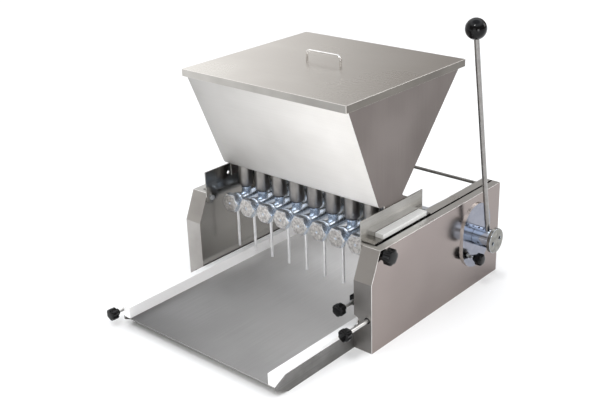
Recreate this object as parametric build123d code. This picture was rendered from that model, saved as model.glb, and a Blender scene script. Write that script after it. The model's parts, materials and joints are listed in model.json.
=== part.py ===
"""Praline filling dispenser: a hand-driven depositor with eight dosing cylinders in a row.

Frame while modelling: X across the machine from its mid-plane, Y from the front face of the
side boxes to the back, Z up from the table it stands on. The finished solids are shifted so
that the origin is at the middle of the bottom of the whole machine. All sizes in millimetres.
"""
import math
import os

from build123d import *

# Row of dosing units
UNIT_COUNT = 8
UNIT_PITCH = 47.0
ROW_END_MARGIN = 14.5          # outermost pitch edge to the side box
AXIS_DROP = 21.5               # cylinder axes below the top of the side boxes
CYLINDER_FRONT = 65.0
CYLINDER_LENGTH = 127.0
CYLINDER_RADIUS = 14.0
BORE_RADIUS = 10.0
COLLAR_RADIUS = 16.0
COLLAR_INSET = 1.5             # first collar, from the cylinder's front end
FRONT_COLLAR = 5.0
COLLAR_GROOVE = 2.0
REAR_COLLAR = 7.5
CAP_ACROSS_FLATS = 37.0
CAP_THICKNESS = 12.0
CAP_CHAMFER = 2.5
CAP_PLUG = 5.5
NEEDLE_SETBACK = 10.0          # needle axis behind the cylinder's front end
NEEDLE_RADIUS = 3.0
NEEDLE_BORE = 2.0
NEEDLE_LENGTH = 87.5           # below the collar
FERRULE_RADIUS = 5.0
FERRULE_LENGTH = 8.0
TUBE_SETBACK = 39.0            # tube axis behind the cylinder's front end
TUBE_RADIUS = 15.0
SOCKET_RADIUS = 17.0
SOCKET_TOP = 18.5              # above the cylinder axis
SOCKET_DEPTH = 5.0
SEAL_RADIUS = 18.5
SEAL_HEIGHT = 3.5
GLAND_LENGTH = 8.0
RAIL_INSET = 10.0              # plate that carries the cylinders, from their back ends
RAIL_THICKNESS = 8.0
RAIL_MARGIN = 6.5              # plate below the cylinders, and below the top of the brackets

# Side boxes
BOX_WIDTH = 41.0
BOX_DEPTH = 438.0
BOX_HEIGHT = 202.0
FRONT_HEIGHT = 142.0           # height of the upright front panel
FRONT_RUN = 26.0               # how far the sloping panel runs back
SHEET = 1.5
FRAME_SHEET = 3.0
LEDGE_FRONT = 37.0             # where the open top begins
LEDGE_WIDTH = 19.5
TOP_GAP = 4.5                  # gap along the top between the ledge and the cover's lip
RETURN_WIDTH = 12.0
FRAME_FLANGE = 18.0
NOTCH_RADIUS = 12.0
NOTCH_HEIGHT = 57.5
TIE_ROD_RADIUS = 3.5
TIE_ROD_FROM_BACK = 12.5
TIE_ROD_DROP = 10.0            # tie rod axis below the top of the boxes

# Table
TABLE_FRONT = -216.0
TABLE_TOP = 22.0
RAIL_BAR = 2.5                 # thickness of the side rails
RAIL_RISE = 13.0               # side rails above the table plate
RAIL_SLOPE = 28.0              # run of the falling front end of a side rail
RAIL_NOSE = 7.0                # height of its blunt tip
RAIL_TOE = 31.0                # how far the tip stands out over the table it stands on
STRIP_WIDTH = 16.0
STRIP_HEIGHT = 23.0

# Hopper and lid
HOPPER_HEIGHT = 220.5
HOPPER_FLOOR_AHEAD = 24.0      # floor in front of the tube axes
HOPPER_FLOOR_BEHIND = 43.0     # floor behind them
HOPPER_FRONT_FLARE = 92.0
HOPPER_REAR_FLARE = 198.0
HOPPER_BEND = 11.0
HOPPER_ABOVE_BRACKET = 4.5
TAB_FRONT = 96.0
TAB_REAR = 168.0
TAB_OVERLAP = 27.0             # how far a side tab reaches down its bracket
TAB_SHOULDER = 5.0
LID_OVERHANG = 3.0
LID_FRONT_OVERHANG = 4.0
LID_REAR_OVERHANG = 7.0
LID_SKIRT = 14.5
LID_CLEARANCE = 0.4
HANDLE_SPAN = 84.0
HANDLE_HEIGHT = 24.0
HANDLE_RADIUS = 2.75
HANDLE_BEND = 9.0
HANDLE_NUT_RADIUS = 5.0
HANDLE_NUT_HEIGHT = 4.5

# Brackets that carry the hopper
BRACKET_SHEET = 2.5
BRACKET_FRONT = 32.0
BRACKET_REAR = 215.0
BRACKET_HEIGHT = 47.0
BRACKET_HOLE_Y = 88.0
BRACKET_HOLE_DROP = 19.0       # hole below the bracket's top
BRACKET_HOLE_RADIUS = 3.5
REAR_BOLT_INSET = 6.5          # bolt behind a clamp bar, from the bracket's rear end
CLAMP_TAB_HALF = 13.0
CLAMP_BAR_FRONT = 64.0
CLAMP_BAR_REAR = 202.0
CLAMP_BAR_HEIGHT = 9.0

# Lever, shaft and dial
SHAFT_FROM_BACK = 91.0
SHAFT_Z = 116.0
SHAFT_RADIUS = 8.0
SHAFT_LEFT_END = 27.0          # past the left frame
BUSH_RADIUS = 11.0
BUSH_FLANGE_RADIUS = 15.0
BUSH_FLANGE = 3.5
DIAL_WIDTH = 102.0
DIAL_HEIGHT = 137.0
DIAL_THICKNESS = 4.0
DIAL_SLOT_RADIUS = 46.0
DIAL_SLOT_START = 214.0
DIAL_SLOT_SPAN = 52.0
DIAL_KNOB_ANGLE = 245.7
HUB_RADIUS = 20.0
HUB_GAP = 0.5                  # dial face to hub
HUB_LENGTH = 38.0
HUB_DISC_RADIUS = 26.0
HUB_DISC_THICKNESS = 7.0
HUB_SCREW_OFFSET = 13.0
LEVER_FROM_DISC = 12.0         # lever axis to the inner face of the hub disc
LEVER_LENGTH = 451.0           # shaft axis to ball centre
LEVER_LEAN = 9.95              # degrees forward of upright, at rest
LEVER_RADIUS = 5.0
BALL_RADIUS = 20.0
BALL_SOCKET = 13.0             # depth of the lever's end past the ball's lower flat
LEVER_BACK = 4.0               # degrees the lever can go back from rest
LEVER_FORWARD = 26.0           # degrees it can be pulled forward

# Cranks, drive pins and piston carriage
CRANK_SHEET = 3.0
CRANK_HUB_RADIUS = 17.0
CRANK_BOSS_RADIUS = 15.0
CRANK_BOSS = 10.0
CRANK_ARM = 26.0
PIN_BEHIND_SHAFT = 10.0
PIN_DROP = 24.0                # drive pin axis below the top of the boxes
DRIVE_PIN_RADIUS = 4.0
DRIVE_PIN_END = 1.75           # pin end past the crank
PIN_SLOT_ROOM = 2.0            # round the drive pins in the frames' slots
FORK_CLEARANCE = 1.0
FORK_END_ROOM = 2.5
TAIL_BOSS_RADIUS = 7.0
TAIL_WIDTH = 18.0
YOKE_SETBACK = 58.0            # yoke behind the cylinders, at rest
YOKE_DEPTH = 12.0
YOKE_HEIGHT = 20.0
LINK_INSET = 12.5              # middle of a push link to the frame's face
LINK_WIDTH = 8.0
LINK_EYE_RADIUS = 10.0
PISTON_SETBACK = 11.5          # piston face behind the tube axis, at rest
PISTON_LENGTH = 40.0
PISTON_GROOVE = 3.0
PISTON_GROOVE_DEPTH = 1.6
PISTON_GROOVE_INSET = 5.0
ROD_RADIUS = 4.0
ROD_NUT_ACROSS_FLATS = 13.0
ROD_NUT = 5.0

# Knobs, spindle and tray rods
CLAMP_Y = 36.0
CLAMP_DROP = 11.0              # clamp axis below the top of the box
CLAMP_GRIP = 32.0
CLAMP_GRIP_HEIGHT = 16.0
STUD_RADIUS = 4.0
SMALL_GRIP = 25.0
SMALL_GRIP_HEIGHT = 15.0
GRIP_BOSS_RADIUS = 7.0
GRIP_BOSS = 6.0
GRIP_LOBES = 6
GRIP_SCALLOP = 0.30            # scallop radius as a share of the lobe spacing
DIAL_STUD_RADIUS = 3.0
DIAL_STUD_SHOW = 8.0
STOP_NUT_SIZE = 14.0
STOP_NUT_THICKNESS = 4.0
TRAY_ROD_RADIUS = 4.0
SPINDLE_Z = 67.0
SPINDLE_GRIP_FRONT = -72.0
STOP_ROD_INSET = 12.0          # tray stop rod axis to the frame's face
STOP_ROD_Z = 88.0
STOP_ROD_REAR = 200.0
STOP_LENGTH = 8.0
STOP_ABOVE_STRIP = 4.0
STOP_HALF_WIDTH = 8.0
STOP_PULL = 90.0               # travel of the tray stop rod to the front
STOP_PUSH = 20.0               # and to the back
FEED_ROD_INSET = 19.5          # feed rod axis to the frame's face
FEED_ROD_Z = 24.0
FEED_GRIP_FRONT = -236.0
FEED_ROD_REAR = 270.0
FEED_TRAVEL = 140.0
PUSHER_FRONT = 250.0
PUSHER_LENGTH = 12.0
PUSHER_REACH = 14.0            # past the frame's face, over the slide strip
PUSHER_HEIGHT = 8.0
GUIDE_RADIUS = 6.5
GUIDE_FLANGE_RADIUS = 8.5
GUIDE_FLANGE = 3.0
GUIDE_LENGTH = 10.0
GUIDE_BLOCK = 12.0
GUIDE_MARGIN = 9.0             # rod axis to the edge of a guide block
STOP_GUIDE_FRONT = 14.0
STOP_GUIDE_ROOM = 10.0         # left between the tray stop and its rear guide block
SPINDLE_SUPPORT_Y = 200.0
FEED_SUPPORT_Y = 190.0
SUPPORT_PLATE = 5.0

# Screws
BOLT_RADIUS = 3.0
BOLT_HEAD_ACROSS_FLATS = 10.0
BOLT_HEAD = 4.0
BOLT_END = 4.0                 # thread past the frame
BOLT_COUNT = 4
BOLT_INSET = 30.0
STRIP_SCREW_COUNT = 4
STRIP_SCREW_INSET = 60.0
SCREW_BITE = 5.0
COVER_SCREW_COUNT = 3
COVER_SCREW_INSET = 36.0
COVER_SCREW_X = 9.0
SCREW_RADIUS = 2.0
SCREW_HEAD_RADIUS = 4.0
SCREW_HEAD = 2.4
CLAMP_SCREW_INSET = 26.0
HUB_SCREW_RADIUS = 2.5
HUB_SCREW_HEAD_RADIUS = 4.0
HUB_SCREW_HEAD = 4.0
HUB_SCREW_LENGTH = 20.0
HUB_SCREW_SINK = 1.5
SET_SCREW_RADIUS = 2.5
SET_SCREW_PLACES = (6.0, 17.0)  # from the dial end of the hub

# Clearances
FIT = 0.05                     # radial, shaft in hole
RUN = 0.5                      # between pieces that pass each other
HOLE_ROOM = 0.5                # radial, loose screw or stud hole
BORE_RUN = 0.1                 # piston in bore
OVERCUT = 1.0                  # how far a cutter runs past a face

# Places worked out from the driving dimensions
half_bay = (UNIT_COUNT * UNIT_PITCH) / 2 + ROW_END_MARGIN
unit_x = [(i - (UNIT_COUNT - 1) / 2) * UNIT_PITCH for i in range(UNIT_COUNT)]
cover_out = half_bay + BOX_WIDTH
cover_in = cover_out - SHEET
frame_out = half_bay + FRAME_SHEET
ledge_out = half_bay + LEDGE_WIDTH
lip_in = ledge_out + TOP_GAP
plate_half = half_bay - RAIL_BAR
bracket_in = half_bay - BRACKET_SHEET
frame_front = SHEET
frame_rear = BOX_DEPTH - SHEET
axis_height = BOX_HEIGHT - AXIS_DROP
cylinder_rear = CYLINDER_FRONT + CYLINDER_LENGTH
collar_front = CYLINDER_FRONT + COLLAR_INSET
collar_groove = collar_front + FRONT_COLLAR
rear_collar = collar_groove + COLLAR_GROOVE
needle_y = CYLINDER_FRONT + NEEDLE_SETBACK
needle_seat = axis_height - COLLAR_RADIUS
needle_tip = needle_seat - NEEDLE_LENGTH
tube_y = CYLINDER_FRONT + TUBE_SETBACK
piston_face = tube_y + PISTON_SETBACK
piston_rear = piston_face + PISTON_LENGTH
bracket_top = BOX_HEIGHT + BRACKET_HEIGHT
bracket_hole_z = bracket_top - BRACKET_HOLE_DROP
hopper_bottom = bracket_top + HOPPER_ABOVE_BRACKET
hopper_top = hopper_bottom + HOPPER_HEIGHT
floor_front = tube_y - HOPPER_FLOOR_AHEAD
floor_rear = tube_y + HOPPER_FLOOR_BEHIND
hopper_front = floor_front - HOPPER_FRONT_FLARE
hopper_rear = floor_rear + HOPPER_REAR_FLARE
strip_top = TABLE_TOP + STRIP_HEIGHT
rail_top = TABLE_TOP + RAIL_RISE
rail_slope_front = TABLE_FRONT + RAIL_SLOPE
clamp_z = BOX_HEIGHT - CLAMP_DROP
bolt_z = (TABLE_TOP - SHEET) / 2
shaft_y = BOX_DEPTH - SHAFT_FROM_BACK
drive_pin_y = shaft_y + PIN_BEHIND_SHAFT
drive_pin_z = BOX_HEIGHT - PIN_DROP
tie_rod_y = BOX_DEPTH - TIE_ROD_FROM_BACK
tie_rod_z = BOX_HEIGHT - TIE_ROD_DROP
flange_top = BOX_HEIGHT + BRACKET_SHEET
tube_seat = axis_height + SOCKET_TOP - SOCKET_DEPTH
socket_top = axis_height + SOCKET_TOP
dial_front = cover_out + DIAL_THICKNESS
hub_start = dial_front + HUB_GAP
disc_start = hub_start + HUB_LENGTH
disc_end = disc_start + HUB_DISC_THICKNESS
lever_x = disc_start - LEVER_FROM_DISC
crank_in = ledge_out + (TOP_GAP - CRANK_SHEET) / 2
crank_out = crank_in + CRANK_SHEET
pin_rise = drive_pin_z - SHAFT_Z
crank_lean = math.degrees(math.atan2(drive_pin_y - shaft_y, pin_rise))
pin_front = shaft_y + pin_rise * math.tan(math.radians(crank_lean - LEVER_FORWARD))
pin_rear = shaft_y + pin_rise * math.tan(math.radians(crank_lean + LEVER_BACK))
fork_swing = max(abs(crank_lean + LEVER_BACK), abs(crank_lean - LEVER_FORWARD))
fork_tip = pin_rise / math.cos(math.radians(fork_swing)) + DRIVE_PIN_RADIUS + FORK_END_ROOM
fork_root = pin_rise - DRIVE_PIN_RADIUS - FORK_END_ROOM
tail_reach = (SHAFT_Z - SPINDLE_Z) / math.cos(math.radians(crank_lean))
spindle_x = cover_in - RUN - GUIDE_FLANGE_RADIUS
tail_at_back = shaft_y - tail_reach * math.sin(math.radians(crank_lean + LEVER_BACK))
spindle_end = tail_at_back - TAIL_BOSS_RADIUS - RUN
stop_rod_x = half_bay - STOP_ROD_INSET
stop_grip_front = -(SMALL_GRIP_HEIGHT + STOP_PUSH + 2 * RUN)
stop_front = STOP_ROD_REAR - STOP_LENGTH
stop_guide_rear = stop_front - STOP_PULL - STOP_GUIDE_ROOM - GUIDE_BLOCK
feed_rod_x = -(half_bay + FEED_ROD_INSET)
pusher_bottom = strip_top + 2 * RUN
dial_knob_y = shaft_y + DIAL_SLOT_RADIUS * math.cos(math.radians(DIAL_KNOB_ANGLE))
dial_knob_z = SHAFT_Z + DIAL_SLOT_RADIUS * math.sin(math.radians(DIAL_KNOB_ANGLE))
lid_top = hopper_top + LID_CLEARANCE + SHEET
lid_half = bracket_in + LID_OVERHANG
lid_middle = (hopper_front - LID_FRONT_OVERHANG + hopper_rear + LID_REAR_OVERHANG) / 2

nodes = {}


def block(x0, x1, y0, y1, z0, z1):
    """Box between two corners."""
    middle = Pos((x0 + x1) / 2, (y0 + y1) / 2, (z0 + z1) / 2)
    return middle * Box(abs(x1 - x0), abs(y1 - y0), abs(z1 - z0))


def rod_x(y, z, radius, x0, x1):
    """Round bar along X."""
    return Pos((x0 + x1) / 2, y, z) * Rot(0, 90, 0) * Cylinder(radius, abs(x1 - x0))


def rod_y(x, z, radius, y0, y1):
    """Round bar along Y."""
    return Pos(x, (y0 + y1) / 2, z) * Rot(90, 0, 0) * Cylinder(radius, abs(y1 - y0))


def rod_z(x, y, radius, z0, z1):
    """Round bar along Z."""
    return Pos(x, y, (z0 + z1) / 2) * Cylinder(radius, abs(z1 - z0))


def plate_x(face, x0, x1):
    """Plate across X from a face drawn in Y and Z."""
    return extrude(Plane.YZ.offset(x0) * face, x1 - x0)


def outline(*points):
    """Face with straight sides."""
    return make_face(Polyline(*points, close=True))


def hexagon(across_flats, length):
    """Hexagonal bar along +Z from the origin, with flats across Y."""
    return extrude(RegularPolygon(across_flats / 2, 6, major_radius=False, rotation=0), length)


def mirrored(shape):
    """The same piece on the other side of the machine."""
    return mirror(shape, about=Plane.YZ)


def group(shapes):
    """Separate solids kept together in one node."""
    return Compound([solid for shape in shapes for solid in shape.solids()])


def star_grip(diameter, height):
    """Lobed hand grip along +Z, with its boss at the origin."""
    radius = diameter / 2
    scallop = GRIP_SCALLOP * 2 * math.pi * radius / GRIP_LOBES
    head = Pos(0, 0, GRIP_BOSS + height / 2) * Cylinder(radius, height)
    cutter = Cylinder(scallop, 3 * height)
    head -= PolarLocations(radius + scallop / 2, GRIP_LOBES) * cutter
    ends = head.edges().group_by(Axis.Z)
    head = fillet(ends[0] + ends[-1], scallop / 4)
    return head + Pos(0, 0, GRIP_BOSS / 2) * Cylinder(GRIP_BOSS_RADIUS, GRIP_BOSS)


# Side box frames and covers
def box_face(inset):
    """Side view of a box, set in by a sheet thickness."""
    face = outline(
        (0, 0), (BOX_DEPTH, 0), (BOX_DEPTH, BOX_HEIGHT), (FRONT_RUN, BOX_HEIGHT), (0, FRONT_HEIGHT)
    )
    return offset(face, -inset, kind=Kind.INTERSECTION) if inset else face


def bolt_hole(y):
    """Hole for one of the bolts that hold a side rail to its frame."""
    return rod_x(y, bolt_z, BOLT_RADIUS + FIT, plate_half - OVERCUT, frame_out + OVERCUT)


def cover_screw_hole(z):
    """Hole for one of the screws at the back of a cover."""
    start = frame_rear - FRAME_SHEET - OVERCUT
    return rod_y(cover_screw_x, z, SCREW_RADIUS + FIT, start, BOX_DEPTH + OVERCUT)


def clamp_screw_rows():
    """Places along Y of the screws under a clamp bar."""
    return (CLAMP_BAR_FRONT + CLAMP_SCREW_INSET, CLAMP_BAR_REAR - CLAMP_SCREW_INSET)


def spread(first, last, count):
    """Places at even steps from the first to the last."""
    return [first + (last - first) * i / (count - 1) for i in range(count)]


strip_screw_start = TABLE_FRONT + STRIP_SCREW_INSET
bolt_rows = spread(BOLT_INSET, BOX_DEPTH - BOLT_INSET, BOLT_COUNT)
strip_screw_rows = spread(strip_screw_start, BOX_DEPTH - STRIP_SCREW_INSET, STRIP_SCREW_COUNT)
cover_screw_rows = spread(COVER_SCREW_INSET, BOX_HEIGHT - COVER_SCREW_INSET, COVER_SCREW_COUNT)
clamp_bar_in = half_bay + RUN
clamp_screw_x = (frame_out + ledge_out) / 2
rear_bolt_y = BRACKET_REAR - REAR_BOLT_INSET
cover_screw_x = frame_out + COVER_SCREW_X


def inner_frame():
    """Inner side plate with its ledge, back flange and bottom flange."""
    frame = plate_x(box_face(SHEET), half_bay, frame_out)
    frame += block(half_bay, frame_out, LEDGE_FRONT + RUN, frame_rear, FRONT_HEIGHT, BOX_HEIGHT)
    frame += block(half_bay, ledge_out, LEDGE_FRONT + RUN, frame_rear, BOX_HEIGHT - FRAME_SHEET, BOX_HEIGHT)
    frame += block(half_bay, half_bay + FRAME_FLANGE, frame_rear - FRAME_SHEET, frame_rear, 0, BOX_HEIGHT)
    frame += block(half_bay, half_bay + FRAME_FLANGE, frame_front, frame_rear, 0, FRAME_SHEET)
    inner = half_bay - OVERCUT
    outer = frame_out + OVERCUT
    pin_room = DRIVE_PIN_RADIUS + PIN_SLOT_ROOM
    frame -= block(
        inner, outer,
        pin_front - pin_room, pin_rear + pin_room,
        drive_pin_z - pin_room, drive_pin_z + pin_room,
    )
    frame -= rod_x(shaft_y, SHAFT_Z, BUSH_RADIUS + FIT, inner, outer)
    frame -= rod_x(CLAMP_Y, clamp_z, STUD_RADIUS + HOLE_ROOM, inner, outer)
    frame -= rod_x(tie_rod_y, tie_rod_z, BOLT_RADIUS + FIT, inner, outer)
    for y in bolt_rows:
        frame -= bolt_hole(y)
    for z in cover_screw_rows:
        frame -= cover_screw_hole(z)
    ledge_bottom = BOX_HEIGHT - FRAME_SHEET
    for y in (*clamp_screw_rows(), rear_bolt_y):
        frame -= rod_z(clamp_screw_x, y, BOLT_RADIUS + FIT, ledge_bottom - OVERCUT, BOX_HEIGHT + OVERCUT)
    return frame


def outer_cover():
    """Folded cover: side, front, sloping front, narrow top lip and back."""
    cover = plate_x(box_face(0), half_bay, cover_out)
    cover -= plate_x(box_face(SHEET), half_bay - OVERCUT, cover_in)
    inner = half_bay - OVERCUT
    cover -= block(inner, lip_in, LEDGE_FRONT, frame_rear, BOX_HEIGHT - 2 * SHEET, BOX_HEIGHT + OVERCUT)
    cover -= block(inner, cover_out - RETURN_WIDTH, frame_front, frame_rear, -OVERCUT, 2 * SHEET)
    for z in cover_screw_rows:
        cover -= cover_screw_hole(z)
    return cover


def dial_slot(x0, x1):
    """Curved slot in which the dose stop is set."""
    arc = CenterArc((shaft_y, SHAFT_Z), DIAL_SLOT_RADIUS, DIAL_SLOT_START, DIAL_SLOT_SPAN)
    return plate_x(SlotArc(arc, 2 * (DIAL_STUD_RADIUS + HOLE_ROOM)), x0, x1)


right_frame = inner_frame()
pusher_slot = block(
    -frame_out - OVERCUT, -half_bay + OVERCUT,
    PUSHER_FRONT - 2 * RUN, PUSHER_FRONT + PUSHER_LENGTH + FEED_TRAVEL + 2 * RUN,
    pusher_bottom - 2 * RUN, pusher_bottom + PUSHER_HEIGHT + 2 * RUN,
)
notch = rod_x(0, NOTCH_HEIGHT, NOTCH_RADIUS, half_bay - OVERCUT, frame_out + OVERCUT)
nodes["right_inner_frame"] = right_frame - notch
nodes["left_inner_frame"] = mirrored(right_frame) - pusher_slot
plain_cover = outer_cover()
guide_hole = GUIDE_RADIUS + FIT
nodes["right_outer_cover"] = (
    plain_cover
    - rod_y(half_bay, NOTCH_HEIGHT, NOTCH_RADIUS, -OVERCUT, frame_front + OVERCUT)
    - rod_y(spindle_x, SPINDLE_Z, guide_hole, -OVERCUT, frame_front + OVERCUT)
    - rod_x(CLAMP_Y, clamp_z, STUD_RADIUS + HOLE_ROOM, cover_in - OVERCUT, cover_out + OVERCUT)
    - rod_x(shaft_y, SHAFT_Z, BUSH_RADIUS + FIT, cover_in - OVERCUT, cover_out + OVERCUT)
    - dial_slot(cover_in - OVERCUT, cover_out + OVERCUT)
)
nodes["left_outer_cover"] = mirrored(plain_cover) - rod_y(
    feed_rod_x, FEED_ROD_Z, guide_hole, -OVERCUT, frame_front + OVERCUT
)

# Table: plate, side rails and slide strips
strip_x = plate_half - STRIP_WIDTH / 2


def strip_screw_hole(y):
    """Hole for a screw that holds a slide strip from below."""
    return rod_z(strip_x, y, BOLT_RADIUS + FIT, TABLE_TOP - 2 * SHEET, TABLE_TOP + SCREW_BITE + FIT)


side_rail = plate_x(
    outline(
        (TABLE_FRONT + RAIL_TOE, 0), (BOX_DEPTH, 0), (BOX_DEPTH, rail_top), (rail_slope_front, rail_top),
        (TABLE_FRONT, TABLE_TOP), (TABLE_FRONT, TABLE_TOP - RAIL_NOSE),
    ),
    plate_half, half_bay,
)
slide_strip = block(plate_half - STRIP_WIDTH, plate_half, TABLE_FRONT, BOX_DEPTH, TABLE_TOP, strip_top)
table = block(-plate_half, plate_half, TABLE_FRONT, BOX_DEPTH, TABLE_TOP - SHEET, TABLE_TOP)
for y in bolt_rows:
    side_rail -= bolt_hole(y)
for y in strip_screw_rows:
    slide_strip -= strip_screw_hole(y)
    table -= strip_screw_hole(y)
    table -= mirrored(strip_screw_hole(y))
nodes["base_plate"] = table
nodes["right_side_rail"] = side_rail
nodes["left_side_rail"] = mirrored(side_rail)
nodes["right_slide_strip"] = slide_strip
nodes["left_slide_strip"] = mirrored(slide_strip)


# Screws of the table, the frames and the covers, and the tie rod across the back
def bolt(length, radius=BOLT_RADIUS):
    """Hexagon bolt along +Z, with the seat of its head at the origin."""
    shank = Pos(0, 0, length / 2) * Cylinder(radius, length)
    return shank + Pos(0, 0, -BOLT_HEAD) * hexagon(BOLT_HEAD_ACROSS_FLATS, BOLT_HEAD)


def cover_screw(x, z):
    """Low round-head screw at the back of a cover."""
    head = rod_y(x, z, SCREW_HEAD_RADIUS, BOX_DEPTH, BOX_DEPTH + SCREW_HEAD)
    return head + rod_y(x, z, SCREW_RADIUS, frame_rear - 2 * FRAME_SHEET, BOX_DEPTH)


rail_bolt_length = RAIL_BAR + FRAME_SHEET + BOLT_END
frame_screws = [Pos(plate_half, y, bolt_z) * Rot(0, 90, 0) * bolt(rail_bolt_length) for y in bolt_rows]
frame_screws += [Pos(strip_x, y, TABLE_TOP - SHEET) * bolt(SHEET + SCREW_BITE) for y in strip_screw_rows]
frame_screws += [cover_screw(cover_screw_x, z) for z in cover_screw_rows]
nodes["frame_screws"] = group(frame_screws + [mirrored(screw) for screw in frame_screws])
tie_end = frame_out + BOLT_HEAD + SHEET
tie_rod = rod_x(tie_rod_y, tie_rod_z, TIE_ROD_RADIUS, -half_bay, half_bay)
tie_rod += rod_x(tie_rod_y, tie_rod_z, BOLT_RADIUS, -tie_end, tie_end)
tie_nut = Pos(frame_out, tie_rod_y, tie_rod_z) * Rot(0, 90, 0) * hexagon(BOLT_HEAD_ACROSS_FLATS, BOLT_HEAD)
tie_nut -= rod_x(tie_rod_y, tie_rod_z, BOLT_RADIUS + FIT, half_bay, tie_end)
nodes["tie_rod"] = group([tie_rod, tie_nut, mirrored(tie_nut)])


# Hopper, its brackets and clamp bars
def hopper_face(top):
    """Side view of the hopper, carried on up its slopes to a given height."""
    grow = (top - hopper_bottom) / HOPPER_HEIGHT
    front = floor_front - HOPPER_FRONT_FLARE * grow
    rear = floor_rear + HOPPER_REAR_FLARE * grow
    face = outline((front, top), (floor_front, hopper_bottom), (floor_rear, hopper_bottom), (rear, top))
    return fillet(face.vertices().group_by(Axis.Y)[0], HOPPER_BEND)


hopper_inside = bracket_in - SHEET
hopper_bore = offset(hopper_face(hopper_top + HOPPER_BEND), -SHEET, kind=Kind.INTERSECTION)
hopper = plate_x(hopper_face(hopper_top), -bracket_in, bracket_in)
hopper -= plate_x(hopper_bore, -hopper_inside, hopper_inside)
tab_bottom = bracket_top - TAB_OVERLAP
tab_shoulder = bracket_top - TAB_SHOULDER
tab = plate_x(
    outline(
        (TAB_FRONT, tab_bottom), (TAB_REAR, tab_bottom), (TAB_REAR, tab_shoulder),
        (floor_rear, hopper_bottom + HOPPER_BEND), (TAB_FRONT, hopper_bottom + HOPPER_BEND),
    ),
    hopper_inside, bracket_in,
)
hopper += tab + mirrored(tab)
for x in unit_x:
    hopper -= rod_z(x, tube_y, BORE_RADIUS, hopper_bottom - OVERCUT, hopper_bottom + 2 * SHEET)

bracket = block(bracket_in, half_bay, BRACKET_FRONT, BRACKET_REAR, BOX_HEIGHT, bracket_top)
bracket += block(bracket_in, ledge_out, LEDGE_FRONT + RUN, BRACKET_REAR, BOX_HEIGHT, flange_top)
bracket += block(
    bracket_in, half_bay, CLAMP_Y - CLAMP_TAB_HALF, CLAMP_Y + CLAMP_TAB_HALF,
    clamp_z - CLAMP_TAB_HALF / 2, bracket_top,
)
bracket -= rod_x(CLAMP_Y, clamp_z, STUD_RADIUS + FIT, bracket_in - OVERCUT, half_bay + OVERCUT)
clamp_bar_top = flange_top + CLAMP_BAR_HEIGHT
clamp_bar = block(clamp_bar_in, ledge_out, CLAMP_BAR_FRONT, CLAMP_BAR_REAR, flange_top, clamp_bar_top)
hopper_screws = []
for y in clamp_screw_rows():
    hole = rod_z(clamp_screw_x, y, BOLT_RADIUS + FIT, BOX_HEIGHT - OVERCUT, flange_top + SCREW_BITE + FIT)
    bracket -= hole
    clamp_bar -= hole
    seat = Pos(clamp_screw_x, y, BOX_HEIGHT - FRAME_SHEET)
    hopper_screws.append(seat * bolt(FRAME_SHEET + BRACKET_SHEET + SCREW_BITE))
bracket -= rod_z(clamp_screw_x, rear_bolt_y, BOLT_RADIUS + FIT, BOX_HEIGHT - OVERCUT, flange_top + OVERCUT)
through_bracket = BRACKET_SHEET + FRAME_SHEET + BOLT_END
hopper_screws.append(Pos(clamp_screw_x, rear_bolt_y, flange_top) * Rot(180, 0, 0) * bolt(through_bracket))
left_clamp_bolt = Pos(-bracket_in, CLAMP_Y, clamp_z) * Rot(0, -90, 0) * bolt(through_bracket, STUD_RADIUS)
bracket_hole = rod_x(
    BRACKET_HOLE_Y, bracket_hole_z, BRACKET_HOLE_RADIUS, bracket_in - OVERCUT, half_bay + OVERCUT
)
nodes["hopper"] = hopper
nodes["right_bracket"] = bracket
nodes["left_bracket"] = mirrored(bracket - bracket_hole)
nodes["right_clamp_bar"] = clamp_bar
nodes["left_clamp_bar"] = mirrored(clamp_bar)
mirrored_screws = [mirrored(screw) for screw in hopper_screws]
nodes["hopper_screws"] = group(hopper_screws + mirrored_screws + [left_clamp_bolt])


# Dosing units: cylinder, cap, needle, feed tube and seals
def dosing_cylinder(x):
    """Cylinder with two front collars, feed socket and needle hole."""
    body = rod_y(x, axis_height, CYLINDER_RADIUS, CYLINDER_FRONT, cylinder_rear)
    body += rod_y(x, axis_height, COLLAR_RADIUS, collar_front, collar_groove)
    body += rod_y(x, axis_height, COLLAR_RADIUS, rear_collar, rear_collar + REAR_COLLAR)
    body += rod_z(x, tube_y, SOCKET_RADIUS, axis_height, socket_top)
    body -= rod_y(x, axis_height, BORE_RADIUS, CYLINDER_FRONT - OVERCUT, cylinder_rear + OVERCUT)
    body -= rod_z(x, tube_y, BORE_RADIUS, axis_height, socket_top + OVERCUT)
    body -= rod_z(x, tube_y, TUBE_RADIUS + FIT, tube_seat, socket_top + OVERCUT)
    needle_hole = rod_z(x, needle_y, NEEDLE_RADIUS + FIT, needle_seat - OVERCUT, axis_height)
    return body - needle_hole


def end_cap(x):
    """Hexagonal cap with a chamfered face and a plug that fits the bore."""
    corner = CAP_ACROSS_FLATS / math.sqrt(3)
    limit = chamfer(Cylinder(corner, CAP_THICKNESS).edges().sort_by(Axis.Z)[-1], CAP_CHAMFER)
    cap = hexagon(CAP_ACROSS_FLATS, CAP_THICKNESS) & Pos(0, 0, CAP_THICKNESS / 2) * limit
    cap += Pos(0, 0, -CAP_PLUG / 2) * Cylinder(BORE_RADIUS - FIT, CAP_PLUG)
    return Pos(x, CYLINDER_FRONT, axis_height) * Rot(90, 0, 0) * cap


def needle(x):
    """Filling needle with the ferrule that holds it under the front collar."""
    top = axis_height - BORE_RADIUS - SHEET
    tube = rod_z(x, needle_y, NEEDLE_RADIUS, needle_tip, top)
    tube += rod_z(x, needle_y, FERRULE_RADIUS, needle_seat - FERRULE_LENGTH, needle_seat)
    return tube - rod_z(x, needle_y, NEEDLE_BORE, needle_tip - OVERCUT, top + OVERCUT)


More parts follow.
